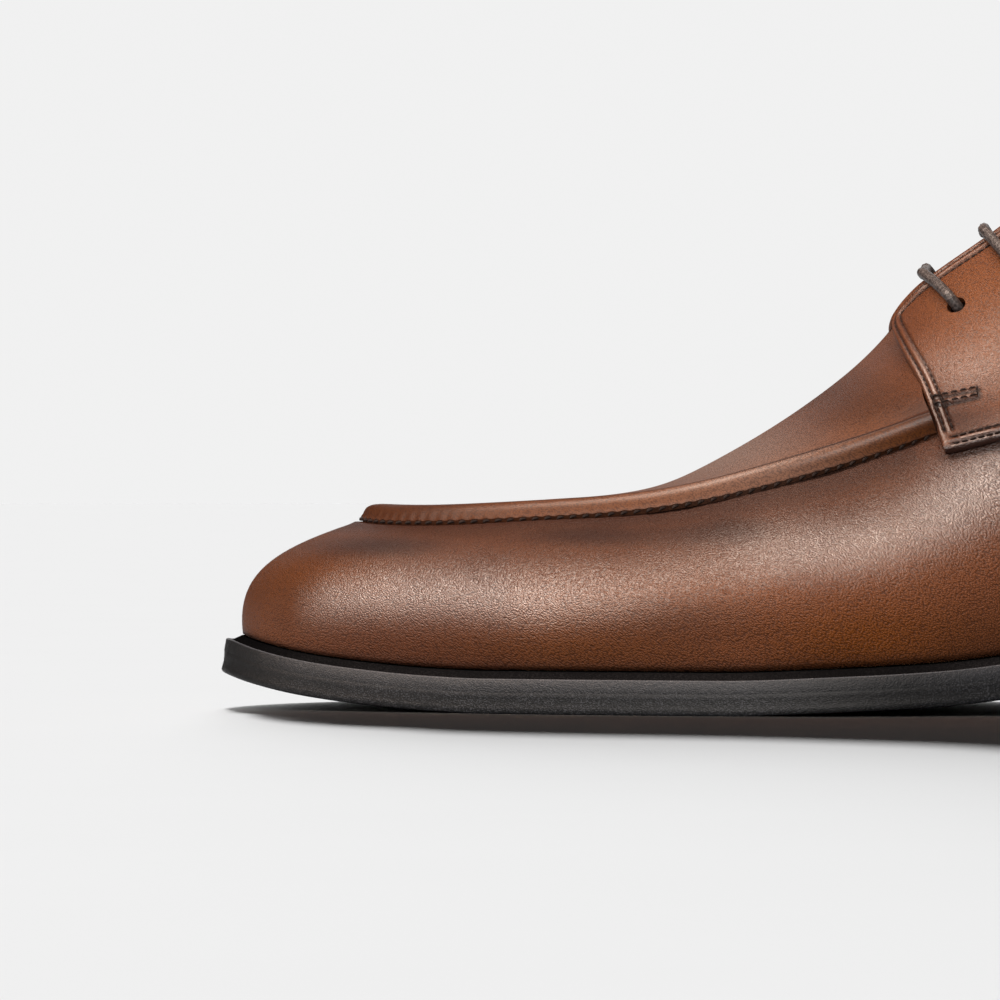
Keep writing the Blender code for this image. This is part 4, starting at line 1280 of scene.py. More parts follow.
def dress_apron(look):
    """The plug with its sewn rim pinched up into a ridge by the stitches."""
    levels = column(APRON_BACK_COLUMNS, APRON_BACK_ROWS, "level")
    back = monotone(levels, column(APRON_BACK_COLUMNS, APRON_BACK_ROWS, "station"))
    share = np.linspace(-1.0, 1.0, 2 * APRON_HALF + 1)[:, None]
    rim_angle = share * angle_at(back(1.0))
    reach = np.linalg.norm(last_surface(rim_angle, 2.0) - last_surface(rim_angle, 1.0), axis=-1)
    rim = np.linspace(0.0, RIDGE_WIDTH, RIDGE_ROWS_FINE)
    inner = np.linspace(0.0, 1.0, APRON_INNER_ROWS)[1:]
    inward = np.concatenate([np.broadcast_to(rim, (len(share), len(rim))),
                             RIDGE_WIDTH + (reach - RIDGE_WIDTH) * inner], axis=1)
    level = 1.0 + inward / reach
    tuck = APRON_TUCK * soft_step(level, *APRON_TUCK_LEVELS)
    angle = share * angle_at(back(level) + tuck)
    base = last_surface(angle, level)
    drawn = pucker(angle) * (1.0 - soft_step(inward, RIDGE_PINCH_FROM, RIDGE_PINCH_TO))
    low_front = 1.0 - RIDGE_LOW * (1.0 - soft_step(np.abs(share), 0.0, RIDGE_LOW_SHARE))
    steep = 1.0 + RIDGE_STEEP * (1.0 - soft_step(np.abs(share), 0.0, RIDGE_STEEP_SHARE))
    height = APRON_GAP + ridge_height(inward * steep) * low_front - RIDGE_PINCH * drawn
    height = height + crease_relief(base) * soft_step(inward, RIDGE_WIDTH, 2.0 * RIDGE_WIDTH)
    tip = soft_step(level, *APRON_TIP_LEVELS) * (1.0 - soft_step(base[..., 0], APRON_TIP_FROM, APRON_TIP_TO))
    tip = tip[..., None]
    square = unit(outward(angle, level) * (1.0 - tip) + UP * tip)
    upper = eased(base + square * height[..., None], last_surface(0.0, 2.0), *APRON_TIP_REACH)
    seat = APRON_SEAT - APRON_SKIRT * (1.0 - soft_step(inward, 0.0, APRON_SKIRT_WIDTH))
    lower = base + square * seat[..., None]
    rows = inward.shape[1]
    rim = [i * rows for i in range(len(share))]
    border = list(zip(rim, rim[1:]))
    for start in (0, rim[-1]):
        side = list(range(start, start + rows))
        border += zip(side, side[1:]) if start else zip(side[1:], side)
    faces = shell(grid_faces(len(share), rows), len(share) * rows, border)
    spots = np.concatenate([upper.reshape(-1, 3), lower.reshape(-1, 3)])
    apron = new_piece("apron_leather", spots, faces, [look], ("apron",),
                      doubled(apron_marks(base, inward, share)))
    join_close(apron, JOIN_APRON)
    return apron


def apron_marks(base, inward, share):
    """Tones of the apron: painted shade at its seam, behind its ridge and on its slope, darker over the plug
    and at its nose, amber on the ridge.
    """
    back = np.abs(share)
    seam = APRON_RIM_SHADE * (1.0 - soft_step(inward, 0.0, APRON_RIM_WIDTH))
    seam = seam + APRON_GROOVE_SHADE * bump_at(inward, *APRON_GROOVE)
    slope = APRON_SLOPE_SHADE * (1.0 - soft_step(inward, *APRON_SLOPE_ENDS))
    slope = slope * (1.0 - APRON_SLOPE_FADE * soft_step(back, *APRON_SLOPE_SHARES))
    plug_top = APRON_PLUG_SHADE * soft_step(inward, APRON_PLUG_FROM, RIDGE_WIDTH)
    nose = APRON_NOSE_SHADE * bump_at(share, 0.0, APRON_NOSE_WIDTH)
    nose = nose * (1.0 - soft_step(inward, *APRON_NOSE_ENDS))
    to_back = APRON_AMBER_FRONT + (1.0 - APRON_AMBER_FRONT) * soft_step(back, *APRON_AMBER_SHARES)
    ridge = bump_at(inward, *APRON_AMBER) * to_back
    marks = tone_marks(base, strongest(seam, slope, plug_top, nose))
    marks["amber"] = np.clip(marks["amber"] + ridge, 0.0, 1.0)
    shine = APRON_POLISH_FRONT + APRON_POLISH_MORE * soft_step(back, *APRON_POLISH_SHARES)
    marks["polish"] = shine * bump_at(inward, *APRON_POLISH)
    marks["sleek"] = APRON_SLEEK * (1.0 - soft_step(inward, RIDGE_WIDTH, 2.0 * RIDGE_WIDTH))
    return marks


def facing_lift(angle, level):
    """How far the front of the facing stands off the vamp."""
    behind = last_surface(angle, level)[..., 0] - FACING_FRONT
    along = np.clip(1.0 - behind / FACING_LIFT_REACH, 0.0, 1.0)
    up = np.clip((level - FACING_LIFT_FROM) / (FACING_LIFT_FULL - FACING_LIFT_FROM), 0.0, 1.0)
    return FACING_LIFT * along ** 2 * (3.0 - 2.0 * along) * up ** 2 * (3.0 - 2.0 * up)


def quarter_edges(share, setback):
    """Angles and levels of a quarter's lower and upper edges, as on the lateral side."""
    knots = column(QUARTER_COLUMNS, QUARTER_ROWS, "share")
    shift = setback * np.clip(1.0 - knots / MEDIAL_SETBACK_SHARE, 0.0, 1.0)
    edges = []
    for edge in ("lower", "upper"):
        stations = column(QUARTER_COLUMNS, QUARTER_ROWS, edge + "_station") + shift
        edges.append(monotone(knots, angle_at(stations))(share))
        edges.append(monotone(knots, column(QUARTER_COLUMNS, QUARTER_ROWS, edge + "_level"))(share))
    return edges


def quarter_skin(angle, level, medial, height):
    """Points at a height over the underside of a quarter."""
    return over_upper(on_side(angle, medial), level, OVERLAY_GAP + facing_lift(angle, level) + height)


def quarter_edge_path(medial, edge, inset, height, start, end):
    """A path along an edge of a quarter, moved inwards over its face, and the way that the face looks."""
    share = np.linspace(start, end, EDGE_SAMPLES)
    low_angle, low_level, high_angle, high_level = quarter_edges(share, MEDIAL_SETBACK if medial else 0.0)
    angle, level = (high_angle, high_level) if edge == "upper" else (low_angle, low_level)
    path = quarter_skin(angle, level, medial, height)
    square = outward(on_side(angle, medial), level)
    along = unit(np.gradient(path, axis=0))
    inner = unit(np.cross(square, along))
    middle = quarter_skin((low_angle + high_angle) / 2.0, (low_level + high_level) / 2.0, medial, height)
    inner = inner * np.sign(np.sum(inner * (middle - path), axis=1))[:, None]
    return rounded(path + inner * inset) if inset else path, square


def rounded(path):
    """A path with its corners rounded off, its ends kept."""
    for _ in range(ROW_SMOOTH_ROUNDS):
        longer = np.pad(path, ((ROW_SMOOTH // 2, ROW_SMOOTH // 2), (0, 0)), "reflect", reflect_type="odd")
        total = np.concatenate([np.zeros((1, 3)), np.cumsum(longer, axis=0)])
        path = (total[ROW_SMOOTH:] - total[:-ROW_SMOOTH]) / ROW_SMOOTH
    return path


def row_distances(spots, medial, inset):
    """Distance from each point to a sewn row along the edges of a quarter."""
    paths = (quarter_edge_path(medial, edge, inset, 0.0, start, end)[0] for edge, start, end in ROW_EDGES)
    return np.minimum(*(edge_distances(spots, path) for path in paths))


def edge_distances(spots, path):
    """Distance from each point to a path of close points."""
    tree = KDTree(len(path))
    for i, spot in enumerate(path):
        tree.insert(spot, i)
    tree.balance()
    return np.array([tree.find(spot)[2] for spot in spots])


def quarter_grid(medial):
    """Share along a quarter, and angle and level of its points, which are closer near its long edges."""
    setback = MEDIAL_SETBACK if medial else 0.0
    share = np.linspace(0.0, 1.0, QUARTER_COLUMNS_FINE)[:, None]
    low_angle, low_level, high_angle, high_level = quarter_edges(share, setback)
    low = quarter_skin(low_angle, low_level, medial, 0.0)
    high = quarter_skin(high_angle, high_level, medial, 0.0)
    length = np.linalg.norm(high - low, axis=-1)
    rim = np.linspace(0.0, QUARTER_RIM, QUARTER_RIM_ROWS)[None, :]
    rim = rim * np.minimum(1.0, QUARTER_RIM_MOST * length / QUARTER_RIM) / length
    middle = np.linspace(0.0, 1.0, QUARTER_INNER_ROWS)[1:-1]
    middle = rim[:, -1:] + (1.0 - 2.0 * rim[:, -1:]) * middle
    up = np.concatenate([rim, middle, 1.0 - rim[:, ::-1]], axis=1)
    angle = low_angle + (high_angle - low_angle) * up
    level = low_level + (high_level - low_level) * up
    return share, angle, level


def dress_quarter(name, medial, look, cutter):
    """A lace quarter with rounded edges, sewn-down rows and its punched lace holes."""
    share, angle, level = quarter_grid(medial)
    columns, rows = angle.shape
    flat = quarter_skin(angle, level, medial, 0.0)
    bare = flat.reshape(-1, 3)
    to_edge = {}
    for edge in ("upper", "lower"):
        path, _ = quarter_edge_path(medial, edge, 0.0, 0.0, 0.0, 1.0)
        to_edge[edge] = edge_distances(bare, path).reshape(angle.shape)
    nearest = np.minimum(to_edge["upper"], to_edge["lower"])
    nearest = np.minimum(nearest, (1.0 - share) * QUARTER_BACK_LENGTH)
    round_off = np.sqrt(1.0 - (1.0 - np.clip(nearest / QUARTER_ROUND, 0.0, 1.0)) ** 2)
    sewn = sum(bump_at(row_distances(bare, medial, inset), 0.0, ROW_GROOVE_WIDTH) for inset in ROW_INSETS)
    sewn = sewn.reshape(angle.shape)
    puff = bump_at(row_distances(bare, medial, np.mean(ROW_INSETS)), 0.0, ROW_PUFF_WIDTH)
    puff = puff.reshape(angle.shape)
    height = QUARTER_THICKNESS * (QUARTER_EDGE_SHARE + (1.0 - QUARTER_EDGE_SHARE) * round_off)
    height = height - ROW_GROOVE * sewn + ROW_PUFF * puff + crease_relief(flat)
    hollow, tack_rows, tack_puff = tack_bar(flat)
    height = height - TACK_HOLLOW * hollow - ROW_GROOVE * tack_rows + ROW_PUFF * tack_puff
    spots = quarter_skin(angle, level, medial, height)
    # Painted shade in the sewn rows and along the lower edge, darker along the upper edge
    row_shade = QUARTER_ROW_SHADE * np.clip(sewn + tack_rows, 0.0, 1.0)
    lower_shade = QUARTER_LOWER_SHADE * bump_at(to_edge["lower"], 0.0, QUARTER_LOWER_WIDTH)
    upper_shade = QUARTER_UPPER_SHADE * bump_at(to_edge["upper"], 0.0, QUARTER_UPPER_WIDTH)
    marks = tone_marks(flat, strongest(row_shade, lower_shade, upper_shade))
    roll = bump_at(nearest, QUARTER_ROLL_SHARE * ROW_INSETS[0], QUARTER_ROLL_WIDTH)
    shine = QUARTER_ROLL_POLISH * (puff + tack_puff + roll)
    marks["polish"] = np.clip(marks["polish"] + shine, 0.0, 1.0)
    marks["sleek"] = np.clip(QUARTER_SLEEK + QUARTER_ROLL_SLEEK * (puff + roll), 0.0, 1.0)
    ring = [i * rows for i in range(columns)] + list(range((columns - 1) * rows + 1, columns * rows))
    ring += [i * rows + rows - 1 for i in range(columns - 2, -1, -1)] + list(range(rows - 2, 0, -1))
    border = zip([ring[-1]] + ring, ring)
    faces = shell(grid_faces(columns, rows, flip=medial), columns * rows, border, medial)
    quarter = new_piece(name + "_leather", np.concatenate([spots.reshape(-1, 3), bare]), faces, [look],
                        (name,), doubled(marks))
    punch(quarter, cutter)
    settle(quarter)
    return quarter


def tack_bar(spots):
    """Where the leather sinks below the short bar of stitches, in its rows, and swells between them."""
    run = (spots[..., 0] - TACK_FROM[0]) / (TACK_TO[0] - TACK_FROM[0])
    line = TACK_FROM[1] + (TACK_TO[1] - TACK_FROM[1]) * run
    below = line - spots[..., 2]
    hollow = plateau(run, *TACK_HOLLOW_ENDS) * plateau(below, *TACK_HOLLOW_BELOW)
    inside = plateau(run, *TACK_ENDS)
    sewn = sum(bump_at(below, -row, ROW_GROOVE_WIDTH) for row in TACK_ROWS)
    past_end = (run - 1.0) * (TACK_TO[0] - TACK_FROM[0])
    depth = -min(TACK_ROWS)
    closed = plateau(below, -TACK_FADE, 0.0, depth, depth + TACK_FADE)
    sewn = np.maximum(sewn, bump_at(past_end, 0.0, ROW_GROOVE_WIDTH) * closed)
    return hollow, sewn * inside, bump_at(below, -np.mean(TACK_ROWS), ROW_PUFF_WIDTH) * inside


def punch(piece, cutter):
    """Cut the lace holes."""
    hole = piece.modifiers.new("lace_holes", "BOOLEAN")
    hole.operation = "DIFFERENCE"
    hole.solver = "EXACT"
    hole.object = cutter


def eyelet(pair, medial):
    """Angle and level of a lace hole."""
    last_station = EYELET_FIRST + EYELET_PAIRS * EYELET_STEP
    angles = angle_at(np.linspace(EYELET_FIRST - EYELET_STEP, last_station, CURVE_SAMPLES))
    station = EYELET_FIRST + pair * EYELET_STEP + (MEDIAL_SETBACK if medial else 0.0)
    angle = float(np.interp(station, TOP["top_station"](angles), angles))
    angle = on_side(angle, medial)
    reach = float(np.linalg.norm(last_surface(angle, 2.0) - last_surface(angle, 1.0)))
    return angle, 2.0 - EYELET_FROM_EDGE / reach


def hole_cutter():
    """Rods through the quarters and the upper at each lace hole."""
    holes = bmesh.new()
    for pair in range(EYELET_PAIRS):
        for medial in (False, True):
            angle, level = eyelet(pair, medial)
            rod = Vector(outward(angle, level)).to_track_quat("Z", "Y").to_matrix().to_4x4()
            rod.translation = Vector(in_frame(last_surface(angle, level)))
            bmesh.ops.create_cone(holes, cap_ends=True, segments=HOLE_SIDES, radius1=EYELET_RADIUS * MM,
                                  radius2=EYELET_RADIUS * MM, depth=EYELET_ROD * MM, matrix=rod)
    mesh = bpy.data.meshes.new("lace_hole_rods")
    holes.to_mesh(mesh)
    holes.free()
    cutter = bpy.data.objects.new("lace_hole_rods", mesh)
    bpy.context.scene.collection.objects.link(cutter)
    return cutter


def drop(piece):
    """Remove a helper object and its mesh."""
    mesh = piece.data
    bpy.data.objects.remove(piece, do_unlink=True)
    bpy.data.meshes.remove(mesh)


def dress_tongue(look):
    """The tongue: under the vamp at its front, between the facings and up to its tip."""
    depth = UPPER_WALL + TONGUE_CLEARANCE
    levels = np.array(TONGUE_LEVELS)[None, :]
    angle = angle_at(TONGUE_STATIONS)[:, None]
    lateral = over_upper(angle, levels, np.full((len(angle), levels.shape[1]), -depth))
    medial = over_upper(mirrored(angle), levels, np.full((len(angle), levels.shape[1]), -depth))
    middle = (lateral[:, -1] + medial[:, -1]) / 2.0
    middle[:, 2] += TONGUE_CROWN * np.abs(lateral[:, -1, 1] - medial[:, -1, 1])
    sections = list(np.concatenate([lateral, middle[:, None], medial[:, ::-1]], axis=1))
    for share, narrower in TONGUE_TIP_ROWS:
        tip = sections[len(TONGUE_STATIONS) - 1] + np.array(TONGUE_RISE) * share
        centre = tip[len(tip) // 2][1]
        tip[:, 1] = centre + (tip[:, 1] - centre) * narrower
        sections.append(tip)
    spots = np.concatenate(sections)
    faces = grid_faces(len(sections), len(sections[0]))
    tongue = new_piece("tongue_leather", spots, faces, [look], ("tongue",),
                       tone_marks(spots, np.zeros(len(spots))))
    thicken(tongue, TONGUE_THICKNESS, -1.0)
    smooth = tongue.modifiers.new("smooth", "SUBSURF")
    smooth.levels = smooth.render_levels = TONGUE_SMOOTH
    settle(tongue)
    return tongue


def sole_ring(angles, inset, height):
    """A ring of points along the sole's outline."""
    along, side, _, _ = outline_inset(angles, inset)
    return sole_point(along, side, height)


def strip_cap(count, partner, start, flip):
    """Faces across a ring of points, from each point to its partner on the other side."""
    faces = []
    for i in range(count // 2):
        corners = list(dict.fromkeys((i, i + 1, partner(i + 1), partner(i))))
        if flip:
            corners.reverse()
        faces.append([start + corner for corner in corners])
    return faces


def stack_rings(rings, partner):
    """Points and faces of a closed solid through rings, lowest first, capped below and above."""
    count = len(rings[0])
    spots = np.concatenate(rings)
    faces = []
    for k in range(len(rings) - 1):
        faces += ring_faces(k * count, (k + 1) * count, count)
    faces += strip_cap(count, partner, 0, True)
    faces += strip_cap(count, partner, (len(rings) - 1) * count, False)
    return spots, faces


def look_below(piece, below, look):
    """Give the faces that point down another look."""
    for face in piece.data.polygons:
        if face.normal.z < below:
            face.material_index = look


def sole_angles():
    """Angles of the fine sections around the sole."""
    return np.linspace(0.0, TURN, SOLE_COLUMNS, endpoint=False)


def even_angles(count):
    """Angles at even steps along the sole's outline."""
    angles = np.linspace(0.0, TURN, SOLE_FINENESS * count)
    ring = sole_ring(angles, 0.0, 0.0)
    lengths = lengths_along(ring)
    return np.interp(np.arange(count) * lengths[-1] / count, lengths, angles)


def edge_marks(spots, heights):
    """How far up the sole edge points lie, and where the edge is painted darker as shade."""
    return {"rise": heights / EDGE_HEIGHT, "wax": np.interp(spots[:, 0], EDGE_SHADE_STATIONS, EDGE_SHADE_SHARES)}


def dress_outsole(looks):
    """The outsole with its trimmed edge: rounded below, slightly hollow in the middle."""
    angles = sole_angles()
    rings = [sole_ring(angles, inset, height) for inset, height in OUTSOLE_EDGE]
    spots, faces = stack_rings(rings, lambda i: (-i) % len(angles))
    marks = edge_marks(spots, np.repeat([height for _, height in OUTSOLE_EDGE], len(angles)))
    outsole = new_piece("outsole_leather", spots, faces, looks, ("outsole",), marks)
    look_below(outsole, SOLE_UNDER_FACING, 1)
    return outsole


def dress_welt(looks):
    """The welt: a sloping strip with a trimmed edge and wheel marks pressed across its top."""
    angles = even_angles(WELT_COLUMNS)
    overhang = WALL["overhang"](angles)
    bottom = OUTSOLE_THICKNESS + WELT_SEAT_GAP
    inner = overhang + WELT_UNDER_UPPER
    profile = [(inner, bottom)]
    profile += [(inset, bottom + rise) for inset, rise in WELT_FOOT]
    profile += [(inset, EDGE_HEIGHT - fall) for inset, fall in WELT_LIP]
    rings = [sole_ring(angles, inset, height) for inset, height in profile]
    wheel = 0.5 + 0.5 * np.cos(TURN * np.arange(WELT_COLUMNS) / WELT_WHEEL_STEP)
    for share in WELT_SLOPE_SHARES:
        across = WELT_LIP[-1][0] + (overhang - WELT_LIP[-1][0]) * share
        sunk = WELT_WHEEL_DEPTH * wheel * math.sin(math.pi * share)
        rings.append(sole_ring(angles, across, EDGE_HEIGHT + WELT_SLOPE * share - sunk))
    rings.append(sole_ring(angles, inner, EDGE_HEIGHT + WELT_SLOPE))
    rows = len(rings)
    spots = np.stack(rings, axis=1).reshape(-1, 3)
    faces = grid_faces(len(angles), rows, closed=True)
    for i in range(len(angles)):
        after = (i + 1) % len(angles)
        faces.append([i * rows + rows - 1, after * rows + rows - 1, after * rows, i * rows])
    top = len(profile)
    heights = [height for _, height in profile]
    marks = edge_marks(spots, np.tile(heights + [0.0] * (rows - top), len(angles)))
    welt = new_piece("welt_strip", spots, faces, looks, ("welt",), marks)
    # The sloping top takes the darker look, painted as shade under the upper
    for face in welt.data.polygons:
        if face.index % (rows - 1) >= top - 1 and face.index < len(angles) * (rows - 1):
            face.material_index = 1
    return welt


def dress_insole(look):
    """The insole board under its sock lining, with a softly rounded rim."""
    angles = sole_angles()
    overhang = WALL["overhang"](angles)
    inside_welt = overhang + WELT_UNDER_UPPER + GAP
    inside_wall = overhang + UPPER_WALL + INSOLE_CLEARANCE
    top = FEATHER_HEIGHT + INSOLE_FLANGE
    rings = [sole_ring(angles, inside_welt, OUTSOLE_THICKNESS + GAP)]
    rings += [sole_ring(angles, inside_welt, FEATHER_HEIGHT), sole_ring(angles, inside_wall, FEATHER_HEIGHT)]
    rings += [sole_ring(angles, inside_wall + inset, top - fall) for inset, fall in INSOLE_RIM]
    spots, faces = stack_rings(rings, lambda i: (-i) % len(angles))
    return new_piece("insole_sock", spots, faces, [look], ("insole",))


def heel_ring(breast, inset, height):
    """A ring around the heel from its breast; a height of None follows the outsole."""
    start = float(angle_at(breast))
    angles = np.linspace(start, TURN - start, HEEL_COLUMNS)
    along, side, _, _ = outline_inset(angles, inset)
    return points(along, side, underside(along) - HEEL_SEAT_GAP if height is None else height)


def dress_heel(looks):
    """The stacked heel: lifts of leather with a fine line between them."""
    low = heel_ring(HEEL_BREAST + HEEL_BREAST_SLANT, HEEL_EDGE_INSET + HEEL_TAPER,
                    TOP_PIECE_THICKNESS + HEEL_FOOT_GAP)
    high = heel_ring(HEEL_BREAST, HEEL_EDGE_INSET, None)
    centre = np.mean(high, axis=0) * LEVEL
    rings = []
    for share in np.linspace(0.0, 1.0, HEEL_LIFTS * HEEL_LIFT_ROWS + 1):
        lift = share * HEEL_LIFTS
        line = bump_at(abs(lift - round(lift)), 0.0, HEEL_LINE_WIDTH)
        ring = low + (high - low) * share
        inwards = unit((centre - ring) * LEVEL)
        rings.append(ring + inwards * HEEL_LINE * line)
    spots, faces = stack_rings(rings, lambda i: HEEL_COLUMNS - 1 - i)
    return new_piece("heel_stack", spots, faces, looks, ("heel",))


def dress_top_piece(look):
    """The rubber top piece with rounded lower edge."""
    inset = HEEL_EDGE_INSET + HEEL_TAPER
    breast = HEEL_BREAST + HEEL_BREAST_SLANT
    rings = [heel_ring(breast, inset + more, height) for more, height in TOP_PIECE_EDGE]
    spots, faces = stack_rings(rings, lambda i: HEEL_COLUMNS - 1 - i)
    return new_piece("heel_top_rubber", spots, faces, [look], ("heel_top_piece",))


def smooth_path(corners, steps):
    """A smooth path through points."""
    corners = np.asarray(corners)
    before = np.concatenate([[2.0 * corners[0] - corners[1]], corners, [2.0 * corners[-1] - corners[-2]]])
    t = np.linspace(0.0, 1.0, steps, endpoint=False)[:, None]
    path = []
    for a, b, c, d in zip(before, before[1:], before[2:], before[3:]):
        path.append(b + 0.5 * t * (c - a + t * (2.0 * a - 5.0 * b + 4.0 * c - d
                                               + t * (3.0 * (b - c) + d - a))))
    return np.concatenate(path + [corners[-1:]])


def tube(path, radius, sides, groove):
    """Points, faces and groove shares of a round cord along a path."""
    along = unit(np.gradient(path, axis=0))
    start = unit(np.cross(along, np.array((1.0, 0.0, 0.0))))
    across = np.cross(along, start)
    turn = np.linspace(0.0, TURN, sides, endpoint=False)
    share = groove(path, turn)
    width = radius * (1.0 - LACE_GROOVE * share)[..., None]
    ring = start[:, None] * np.cos(turn)[None, :, None] + across[:, None] * np.sin(turn)[None, :, None]
    spots = path[:, None] + ring * width
    faces = []
    for i in range(len(path) - 1):
        faces += ring_faces(i * sides, (i + 1) * sides, sides)
    faces.append(list(range(sides))[::-1])
    faces.append(list(range((len(path) - 1) * sides, len(path) * sides)))
    return spots.reshape(-1, 3), faces, share.ravel()


def braid_groove(path, turn):
    """Where the strands of the lace part: two sets of turns, one each way."""
    lengths = lengths_along(path)[:, None]
    one = np.abs(np.sin(LACE_STRANDS * turn[None, :] / 2.0 + lengths * math.pi / LACE_TWIST))
    other = np.abs(np.sin(LACE_STRANDS * turn[None, :] / 2.0 - lengths * math.pi / LACE_TWIST))
    return 1.0 - np.clip(np.minimum(one, other) / LACE_PARTING, 0.0, 1.0)


def lace_side(pair, medial):
    """Middle line of a lace run from inside its hole up to the facing's edge."""
    angle, hole_level = eyelet(pair, medial)
    edge_level = column(QUARTER_COLUMNS, QUARTER_ROWS, "upper_level")[-1]
    rise = np.array(LACE_RISE_SHARES)
    levels = hole_level + (edge_level - hole_level) * rise
    forward = LACE_SLANT * rise
    lateral = on_side(angle, medial)
    angles = lateral - forward / (SHOE_LENGTH / 2.0 * math.sin(lateral))
    height = np.array(LACE_HEIGHTS) + QUARTER_THICKNESS + LACE_RADIUS
    return quarter_skin(angles, levels, medial, height)


def dress_laces(look):
    """The straight lace bars, each out of one hole, over the facings and into the other."""
    for pair in range(EYELET_PAIRS):
        lateral, medial = lace_side(pair, False), lace_side(pair, True)
        over = np.array(LACE_CROSSING)[:, None]
        crossing = lateral[-1] + (medial[-1] - lateral[-1]) * over
        crossing[:, 2:] += 4.0 * LACE_ARCH * over * (1.0 - over)
        path = smooth_path(np.concatenate([lateral, crossing, medial[::-1]]), LACE_STEPS)
        spots, faces, groove = tube(path, LACE_RADIUS, LACE_SIDES, braid_groove)
        new_piece("lace_run_{}".format(pair + 1), spots, faces, [look],
                  ("lace_bar_{}".format(pair + 1),), {"groove": groove})


def stitches(path, square, pitch, length, radius, sink, lean=0.0):
    """Points and faces of a row of stitches along a path on leather that faces along square."""
    spots, along = even_path(path, pitch)
    face = unit(between(np.linspace(0.0, 1.0, len(spots)), np.linspace(0.0, 1.0, len(path)), square))
    across = unit(np.cross(face, along))
    along = unit(along + across * lean)
    across = unit(np.cross(face, along))
    turn = np.linspace(0.0, TURN, STITCH_SIDES, endpoint=False)
    points_all, faces = [], []
    for spot, run, side, out in zip(spots, along, across, face):
        start = len(points_all) * STITCH_SIDES
        for share, width, fall in STITCH_PROFILE:
            middle = spot + run * length * share + out * (-sink - radius * fall)
            points_all.append(middle + radius * width * (side * np.cos(turn)[:, None]
                                                         + out * np.sin(turn)[:, None]))
        for k in range(len(STITCH_PROFILE) - 1):
            low = start + k * STITCH_SIDES
            faces += ring_faces(low, low + STITCH_SIDES, STITCH_SIDES)
    return np.concatenate(points_all), faces


def joined(name, groups, look):
    """One piece from several groups of points and faces."""
    spots, faces = [], []
    count = 0
    for group_spots, group_faces in groups:
        spots.append(group_spots)
        faces += [[corner + count for corner in face] for face in group_faces]
        count += len(group_spots)
    return new_piece(name, np.concatenate(spots), faces, [look])


def quarter_stitches(medial, thread):
    """The two rows along the edges of a quarter and its short bar."""
    groups = []
    pitch = thread.row_pitch / MM
    size = (thread.row_length / MM, thread.width / MM / 2.0)
    for inset in ROW_INSETS:
        for edge, start, end in ROW_EDGES:
            path, square = quarter_edge_path(medial, edge, inset, QUARTER_THICKNESS, start, end)
            groups.append(stitches(path, square, pitch, *size, ROW_GROOVE))
    lines = [((0.0, shift), (1.0, shift), pitch) for shift in TACK_ROWS]
    lines.append(((1.0, TACK_ROWS[0]), (1.0, TACK_ROWS[1]), np.ptp(TACK_ROWS)))
    for start, end, step in lines:
        share, shift = (np.linspace(first, last, CURVE_SAMPLES) for first, last in zip(start, end))
        station = TACK_FROM[0] + (TACK_TO[0] - TACK_FROM[0]) * share
        height = TACK_FROM[1] + (TACK_TO[1] - TACK_FROM[1]) * share + shift
        angle, level = side_spot(station, height)
        path = quarter_skin(angle, level, medial, QUARTER_THICKNESS)
        groups.append(stitches(path, outward(on_side(angle, medial), level), step, *size, 0.0))
    return groups


def apron_stitches(thread):
    """The hand-sewn stitches that draw the apron's rim to the side wall."""
    share = np.linspace(-1.0, 1.0, 2 * EDGE_SAMPLES)
    angle = share * angle_at(SEAM_END - SEAM_STITCH_SHORT)
    path = over_upper(angle, np.ones(len(angle)), SEAM_STITCH_HEIGHT)
    square = outward(angle, np.full(len(angle), SEAM_STITCH_FACE))
    return [stitches(path, square, SEAM_PITCH, SEAM_STITCH_LENGTH, thread.seam_width / MM / 2.0, 0.0,
                     SEAM_STITCH_LEAN)]


def colour_setting(name, description, default):
    """A colour that a user may change."""
    return bpy.props.FloatVectorProperty(name=name, description=description, default=default, size=3,
                                         subtype="COLOR", min=0.0, max=1.0)


def length_setting(name, description, default):
    """A length in millimetres that a user may change, kept in metres."""
    return bpy.props.FloatProperty(name=name, description=description, default=default * MM,
                                   subtype="DISTANCE", unit="LENGTH", precision=5, min=0.0)


def share_setting(name, description, default):
    """A share from 0 to 1 that a user may change."""
    return bpy.props.FloatProperty(name=name, description=description, default=default,
                                   subtype="FACTOR", min=0.0, max=1.0)


class ShoeLeather(bpy.types.PropertyGroup):
    """Colours and grain of the leather."""

    brown: colour_setting("Brown", "Main colour of the upper", (0.150, 0.052, 0.020))
    deep_brown: colour_setting("Deep brown", "Darker clouds in the upper", (0.112, 0.037, 0.015))
    amber: colour_setting("Amber", "Bright patches left by the polish", (0.150, 0.043, 0.004))
    # Painted grey sheen on top of the vamp: the backdrop's reflection, painted into the colour
    painted_sheen: colour_setting("Dull brown", "Greyish brown on top of the vamp", (0.285, 0.215, 0.185))
    # Dark wax of the grain, also the colour of the painted shade at seams, grooves and edges
    burnish_and_shade: colour_setting("Burnish", "Dark wax at seams and edges", (0.014, 0.006, 0.005))
    lining: colour_setting("Lining", "Lining and sock", (0.440, 0.255, 0.125))
    lining_worn: colour_setting("Lining, rubbed", "Rubbed places of the lining", (0.330, 0.180, 0.085))
    grain_width: length_setting("Grain width", "Width of one ridge of the grain", 0.185)
    grain_depth: length_setting("Grain depth", "Depth of the grain", 0.18)
    roughness: share_setting("Roughness", "How much the leather scatters light", 0.46)
    gloss: share_setting("Gloss", "How much light the leather mirrors", 0.12)
    polish: share_setting("Polish", "How much light polished leather mirrors", 0.9)
    polish_roughness: share_setting("Polish roughness", "How much the wax scatters light", 0.30)


